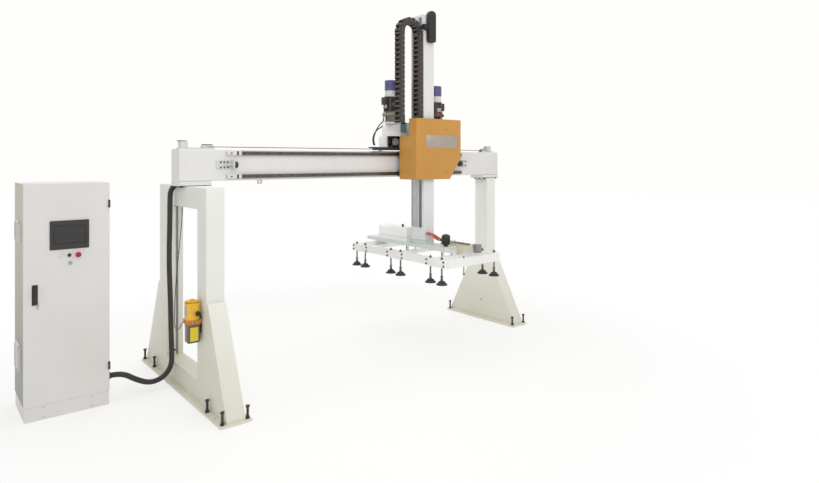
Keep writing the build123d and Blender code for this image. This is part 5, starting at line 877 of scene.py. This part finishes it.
# Cabinet: louvred hoods, hinges, gland, door gasket line, operator panel and labels
hoods = bmesh.new()
for middle, height in ((1440.0, 164.0), (455.0, 210.0)):
    top, low = middle + height / 2, middle - height / 2
    block(hoods, (-1240, 199, low), (-1235, 417, top), 2.0)
    for k in range(int(height // 20) - 1):
        z = low + 14 + 20 * k
        prism(hoods, [(-1235, z + 12), (-1250, z - 2), (-1250, z - 4), (-1247, z - 4), (-1235, z + 8)], "y", 214, 402)
    prism(hoods, [(-1240, top), (-1254, top - 16), (-1254, top - 20), (-1251, top - 20), (-1240, top - 4)], "y", 204, 412)
    for y in (204, 410):
        prism(hoods, [(-1240, top), (-1254, top - 16), (-1254, low), (-1240, low)], "y", y, y + 2)
piece_from(hoods, "cabinet_vent_hoods", cabinet_powder, "stand", ["cabinet_fittings"])
hinge_turns = []
for z in (1640, 319):
    for low, high in ((z - 30, z - 10.3), (z + 10, z + 30)):
        hinge_turns.append(((-641, 37), "z", [(0, low), (7, low), (8.4, low + 1), (8.4, high - 1), (7, high), (0, high)]))
    hinge_turns.append(((-641, 37), "z", [(4, z - 32), (4, z + 32), (0, z + 32)]))
drum("cabinet_hinge_barrels", black_bolt, "stand", hinge_turns, 20)
drum("door_hinge_barrels", black_bolt, "door",
     [((-641, 37), "z", [(0, z - 10), (7, z - 10), (8.4, z - 9), (8.4, z + 8.7), (7, z + 9.7), (0, z + 9.7)])
      for z in (1640, 319)], 20)
boxes("cabinet_hinge_leaves", black_bolt, "stand",
      [((-637.2, 37, z + dz - 9.8), (-634.2, 96, z + dz + 9.8)) for z in (1640, 319) for dz in (-20, 20)], 0.8)
glands = bmesh.new()
for centre, axis, low, high in (((145, 200), "x", -637, -607), ((145, 1844), "x", 195, 225)):
    lathe(glands, centre, axis, [(20.5, low), (32, low), (32, low + 10), (29, low + 11), (29, high - 8), (27, high),
                                 (20.5, high)], 12)
piece_from(glands, "conduit_glands", black_abs, "stand")
boxes("operator_bezel", black_abs, "door",
      [((-1035, 34.6, 1481), (-817, 36, 1487)), ((-1035, 34.6, 1337), (-817, 36, 1343)),
       ((-1041, 34.6, 1337), (-1035, 36, 1487)), ((-817, 34.6, 1337), (-811, 36, 1487))], 0.5)
boxes("operator_screen", screen_glass, "door", [((-1033, 36.2, 1345), (-819, 37.2, 1479))])
boxes("operator_keys", dark_abs, "door",
      [((-1030 + 36 * k, 35.0, 1308), (-1004 + 36 * k, 36.4, 1322)) for k in range(6)], 0.5)
boxes("control_legend_plates", cabinet_powder, "door",
      [((x - 16, 43.8, 1270), (x + 16, 45.0, 1284)) for x in (-983, -928)] + [((-937, 43.8, 1204), (-905, 45, 1216))],
      0.4)
boxes("door_lock_plate", black_abs, "door", [((-1182, 40.4, 886), (-1142, 41.0, 1042))], 0.2)
screws("plinth_screws", pan_head, 5.0, [(x, 49, z) for x in (-1102, -766) for z in (22, 94)], (0, -1, 0),
       zinc_sheet, "stand")
boxes("door_seal_line", black_abs, "door",
      [((-1233, 48, 110.3), (-641, 60, 111.9)), ((-638.9, 48, 114), (-637.6, 60, 1808))])
keys = bmesh.new()
for k in range(12):
    turn, onward = math.radians(30 * k), math.radians(30 * k + 30)
    hose(keys, [Vector((-1146 + 9 * math.sin(a), 33.5, 900 + 9 * math.cos(a))) for a in (turn, onward)], 0.9, 6)
for lean, drop in ((-3, 0), (4, -2)):
    prism(keys, [(-1149 + lean, 892 + drop), (-1141 + lean, 892 + drop), (-1140 + lean, 878 + drop),
                 (-1143.5 + lean, 874 + drop), (-1143.5 + lean, 856 + drop), (-1147 + lean, 852 + drop),
                 (-1147 + lean, 874 + drop), (-1150 + lean, 878 + drop)], "y", 33 + lean / 5, 34.4 + lean / 5)
piece_from(keys, "door_keys", zinc_sheet, "door")
boxes("cabinet_roof_edges", cabinet_powder, "stand",
      [((-1234, 72, 1810), (-638, 544, 1811.5))], 0.6)

# Control gear: fronts of the drives, the supply, the controller's modules, breakers, terminals and duct slots
boxes("drive_fronts", dark_abs, "stand",
      [((x - 41, 317.4, 1284), (x + 41, 319.4, 1556)) for x in (-1106, -996)], 0.8)
boxes("drive_displays", blue_film, "stand",
      [((x - 22, 316.6, 1496), (x + 22, 317.6, 1524)) for x in (-1106, -996)], 0.4)
boxes("drive_vents", black_bolt, "stand",
      [((x - 30, 316.8, 1300 + 11 * k), (x + 30, 317.6, 1304 + 11 * k)) for x in (-1106, -996) for k in range(9)]
      + [((-896 + 12 * k, 388.2, 1385), (-891 + 12 * k, 389.4, 1495)) for k in range(15)])
boxes("controller_modules", dark_abs, "stand",
      [((-1134 + 50 * k, 411, 1024), (-1088 + 50 * k, 419.4, 1136)) for k in range(8)], 1.5)
boxes("controller_terminals", green_bracket, "stand",
      [((-1128 + 50 * k, 403, 1036), (-1108 + 50 * k, 411.6, 1124)) for k in range(1, 8)], 0.8)
boxes("breaker_bodies", box_enamel, "stand",
      [((-1125 + 18.5 * k, 429, 816), (-1108 + 18.5 * k, 434.4, 904)) for k in range(14)], 0.8)
boxes("breaker_levers", black_abs, "stand",
      [((-1122 + 18.5 * k, 417, 862), (-1111 + 18.5 * k, 429.6, 876)) for k in range(14)], 1.0)
boxes("terminal_row", cylinder_enamel, "stand",
      [((-1124 + 9.4 * k, 441, 592), (-1116 + 9.4 * k, 449.4, 648)) for k in range(40)])
duct_slots = []
for level in (1640, 1220, 960, 730, 480):
    for k in range(33):
        for z in (level - 24, level + 6):
            duct_slots.append(((-1177 + 15 * k, 448.2, z), (-1172 + 15 * k, 449.4, z + 18)))
boxes("duct_slots", chain_cable, "stand", duct_slots)

# Rails: bolt plugs, light end pieces, screws on brackets, buffers and risers
screws("rail_bolts", socket_screw, 9.0, [(330 + 120 * k, -126.0, z) for k in range(24) for z in (1847, 2057)],
       (0, -1, 0), black_bolt, "stand")
screws("riser_nuts", hex_head, 17.0,
       [(x + dx, y, 1769.5) for x in (0, 3750) for dx in (-100, 100) for y in (-78, 0, 78)], (0, 0, -1), black_bolt,
       "stand")
# Dark lines at the risers' joints: the joints are real, their darkness is painted shadow of the gap between flange and
# post
boxes("riser_joint_lines", black_bolt, "stand",
      [((x - 139.5, -105.5, 1769.6), (x + 139.5, 105.5, 1775)) for x in (15, 3735)])
boxes("belt_clamp_caps", black_bolt, "stand",
      [((-108, -24, 2160), (-36, 24, 2166)), ((3752, -24, 2160), (3828, 24, 2165)),
       ((-28, -16, 2102), (96, 16, 2104)), ((3770, -16, 2102), (3862, 16, 2104))], 0.6)
boxes("rail_end_clamps", black_bolt, "stand",
      [((380, -129.6, z - 19), (398, -127, z + 19)) for z in (1847, 2057)], 0.6)
screws("buffer_base_screws", socket_screw, 9.0,
       [(base + side * dx, -110.0, 1953 + dz) for base, side in ((340, -1), (3185, 1)) for dx in (40, 72, 104)
        for dz in (-24, 24)], (0, -1, 0), black_bolt, "stand")
screws("belt_clamp_screws", socket_screw, 8.0,
       [(x + dx, dy, 2128.5) for x in (155, 3720) for dx in (-36, -12, 12, 36) for dy in (-16, 16)],
       (0, 0, 1), black_bolt, "stand")
screws("cup_clamp_bolts", socket_screw, 11.0,
       [(x, s + dy, 990 + dz) for x in (2060, 2830) for s in (-930, -290, 350) for dy in (-125, 125)
        for dz in (-20, 20)],
       [(-1 if x < 2400 else 1, 0, 0) for x in (2060, 2830) for s in range(3) for dy in range(2) for dz in range(2)],
       black_bolt, "mast_slide")
boxes("gripper_bar_caps", bar_enamel, "mast_slide",
      [((2088.5, y - 18, 952), (2090, y + 18, 1028)) for y in (-1080, 480)]
      + [((2800, y - 18, 952), (2801.5, y + 18, 1028)) for y in (-1080, 480)], 0.4)

# Vacuum: the orange and the red hose with their fittings, the filter's ribs, the valve hood's knob
pipes("vacuum_hose_orange", orange_hose, "mast_slide", 13.0, [
    [(2401.5, -416, 1205), (2401.5, -440, 1205), (2401.5, -480, 1205), (2415, -520, 1175), (2444, -545, 1147),
     (2444, -570, 1147), (2444, -595, 1147)]], ["vacuum_hoses"], 16)
pipes("vacuum_hose_red", red_hose, "mast_slide", 13.0, [
    [(2443.5, -416, 1190), (2443.5, -440, 1190), (2443.5, -480, 1190), (2460, -520, 1165), (2480, -545, 1147),
     (2480, -570, 1147), (2480, -595, 1147)]], (), 16)
drum("vacuum_hose_fittings", zinc_sheet, "mast_slide",
     [((x, z), "y", [(0, -416), (18, -416), (18, -428), (15, -430), (0, -430)]) for x, z in ((2401.5, 1205), (2443.5, 1190))]
     + [((x, 1147), "y", [(16, -585), (16, -605), (0, -605)]) for x in (2444, 2480)], 6)
drum("vacuum_filter_bowl", black_gloss, "mast_slide",
     [((2458, -660), "z", [(22, 1085), (22, 1098), (36, 1102), (44, 1112), (47, 1126), (47, 1158), (44, 1159),
                           (44, 1165), (47, 1166), (47, 1178), (44.5, 1192), (38, 1203), (27, 1210), (14, 1213),
                           (0, 1213)])], 40,
     ["vacuum_filter"])
drum("vacuum_filter_ports", black_abs, "mast_slide",
     [((x, 1147), "y", [(0, -640), (15, -640), (15, -596), (0, -596)]) for x in (2444, 2480)], 16)
hood = bmesh.new()
prism(hood, rounded(170, 517, 24, (2437.5, 141.5), 5), "z", 1085, 1127)
piece_from(hood, "valve_hood_base", hood_gloss, "mast_slide", ["valve_box"])
hood = bmesh.new()
prism(hood, rounded(167, 514, 23, (2437.5, 141.5), 5), "z", 1120, 1135)
piece_from(hood, "valve_hood_groove", black_abs, "mast_slide")
hood = bmesh.new()
block(hood, (2352.5, -117, 1104), (2522.5, 400, 1238), 24.0, 5)
bmesh.ops.bisect_plane(hood, geom=hood.verts[:] + hood.edges[:] + hood.faces[:], plane_co=(0, 0, 1129),
                       plane_no=(0, 0, -1), clear_outer=True)
bmesh.ops.holes_fill(hood, edges=[e for e in hood.edges if e.is_boundary])
piece_from(hood, "valve_hood", hood_gloss, "mast_slide")
drum("valve_hood_knob", black_abs, "mast_slide",
     [((2437.5, 40), "z", [(12.5, 1238), (12.5, 1258), (10, 1264), (0, 1264)])], 20)

# Cups: grey stems with nuts, bellows lips
for row, x in enumerate((2075.0, 2815.0)):
    for index, station in enumerate((-930.0, -290.0, 350.0)):
        body_name = f"cups_{row * 3 + index + 1}"
        lips, stems = [], []
        for dy in (-82.5, 82.5):
            y = station + dy
            lips.append(((x, y), "z", [(0, 792), (30, 792), (48, 785.6), (55, 785), (56, 788), (50, 797), (38, 804),
                                       (36, 807), (38, 810), (32, 817), (20, 823), (15, 826), (0, 826)]))
            stems.append(((x, y), "z", [(0, 826), (12, 826), (13, 828), (13, 846), (9, 850), (8, 851), (8, 1054),
                                        (7, 1055), (0, 1055)]))
            stems.append(((x, y), "z", [(13, 1030.3), (14, 1031), (14, 1042), (13, 1043), (0, 1043)]))
            stems.append(((x, y), "z", [(8, 856), (15, 857), (15, 868), (14, 869), (8, 870)]))
        drum(f"cup_lips_{row * 3 + index + 1}", cup_rubber, body_name, lips, 40,
             [f"cup_pair_{row * 3 + index + 1}"])
        drum(f"cup_stems_{row * 3 + index + 1}", oiled_steel, body_name, stems, 16)


# Floor, daylight and softboxes
def floor_material():
    """Pale studio floor: it takes the shadow and fades to the white backdrop away from the machine."""
    material, tree = blank_material("studio_floor_paper")
    place = node(tree, "ShaderNodeTexCoord").outputs["Object"]
    far = node(tree, "ShaderNodeVectorMath", {"operation": "DISTANCE", 1: (1.6, 0.0, 0.0)}, {0: place})
    fade = node(tree, "ShaderNodeMapRange", {"From Min": 2.4, "From Max": 4.2, "To Min": 0.6,
                "interpolation_type": "SMOOTHSTEP"},
                {"Value": far.outputs["Value"]})
    grain = node(tree, "ShaderNodeTexNoise", {"Scale": 40.0, "Detail": 3.0}, {"Vector": place})
    tone = node(tree, "ShaderNodeMix", {"data_type": "RGBA", 6: linear("#fafaf8"), 7: linear("#ffffff")},
                {0: grain.outputs["Fac"]})
    paper = node(tree, "ShaderNodeBsdfPrincipled", {"Roughness": 0.7, "IOR": 1.45}, {"Base Color": tone.outputs[2]})
    glow = node(tree, "ShaderNodeEmission", {"Color": linear("#ffffff"), "Strength": 1.0})
    rays = node(tree, "ShaderNodeLightPath")
    seen = node(tree, "ShaderNodeMath", {"operation": "MAXIMUM"},
                {0: rays.outputs["Is Camera Ray"], 1: rays.outputs["Is Glossy Ray"]})
    share = node(tree, "ShaderNodeMath", {"operation": "MULTIPLY"},
                 {0: fade.outputs["Result"], 1: seen.outputs["Value"]})
    mixed = node(tree, "ShaderNodeMixShader", links={0: share.outputs["Value"], 1: paper.outputs["BSDF"],
                 2: glow.outputs["Emission"]})
    node(tree, "ShaderNodeOutputMaterial", links={"Surface": mixed.outputs["Shader"]})
    return material


floor_mesh = bpy.data.meshes.new("studio_floor")
floor_mesh.from_pydata([(-30, -30, -0.001), (30, -30, -0.001), (30, 30, -0.001), (-30, 30, -0.001)], [],
                       [(0, 1, 2, 3)])
floor_mesh.materials.append(floor_material())
floor = bpy.data.objects.new("studio_floor", floor_mesh)
bpy.context.collection.objects.link(floor)

world = bpy.data.worlds.new("studio_white")
bpy.context.scene.world = world
world.use_nodes = True
sky = world.node_tree
sky.nodes.clear()
rays = node(sky, "ShaderNodeLightPath")
seen = node(sky, "ShaderNodeMath", {"operation": "MAXIMUM"},
            {0: rays.outputs["Is Camera Ray"], 1: rays.outputs["Is Glossy Ray"]})
level = node(sky, "ShaderNodeMapRange", {"To Min": 0.72, "To Max": 1.0}, {"Value": seen.outputs["Value"]})
glow = node(sky, "ShaderNodeBackground", {"Color": linear("#fffefc")}, {"Strength": level.outputs["Result"]})
node(sky, "ShaderNodeOutputWorld", links={"Surface": glow.outputs["Background"]})


def softbox(name, place, aim, size, power, colour="#ffffff"):
    """A large square lamp aimed at a point, in metres."""
    light = bpy.data.lights.new(name, "AREA")
    light.size = size
    light.energy = power
    light.color = linear(colour)[:3]
    lamp = bpy.data.objects.new(name, light)
    lamp.location = place
    lamp.rotation_euler = (Vector(aim) - Vector(place)).to_track_quat("-Z", "Y").to_euler()
    bpy.context.collection.objects.link(lamp)


softbox("softbox_front", (3.4, -7.0, 5.0), (1.7, 0.0, 1.2), 4.0, 40.0)
softbox("softbox_above", (1.5, 1.0, 7.5), (1.7, 0.0, 1.0), 5.0, 130.0)
softbox("softbox_left", (-0.4, -3.6, 4.0), (2.4, -0.2, 2.2), 2.0, 35.0)

bpy.context.scene.view_settings.view_transform = "Standard"
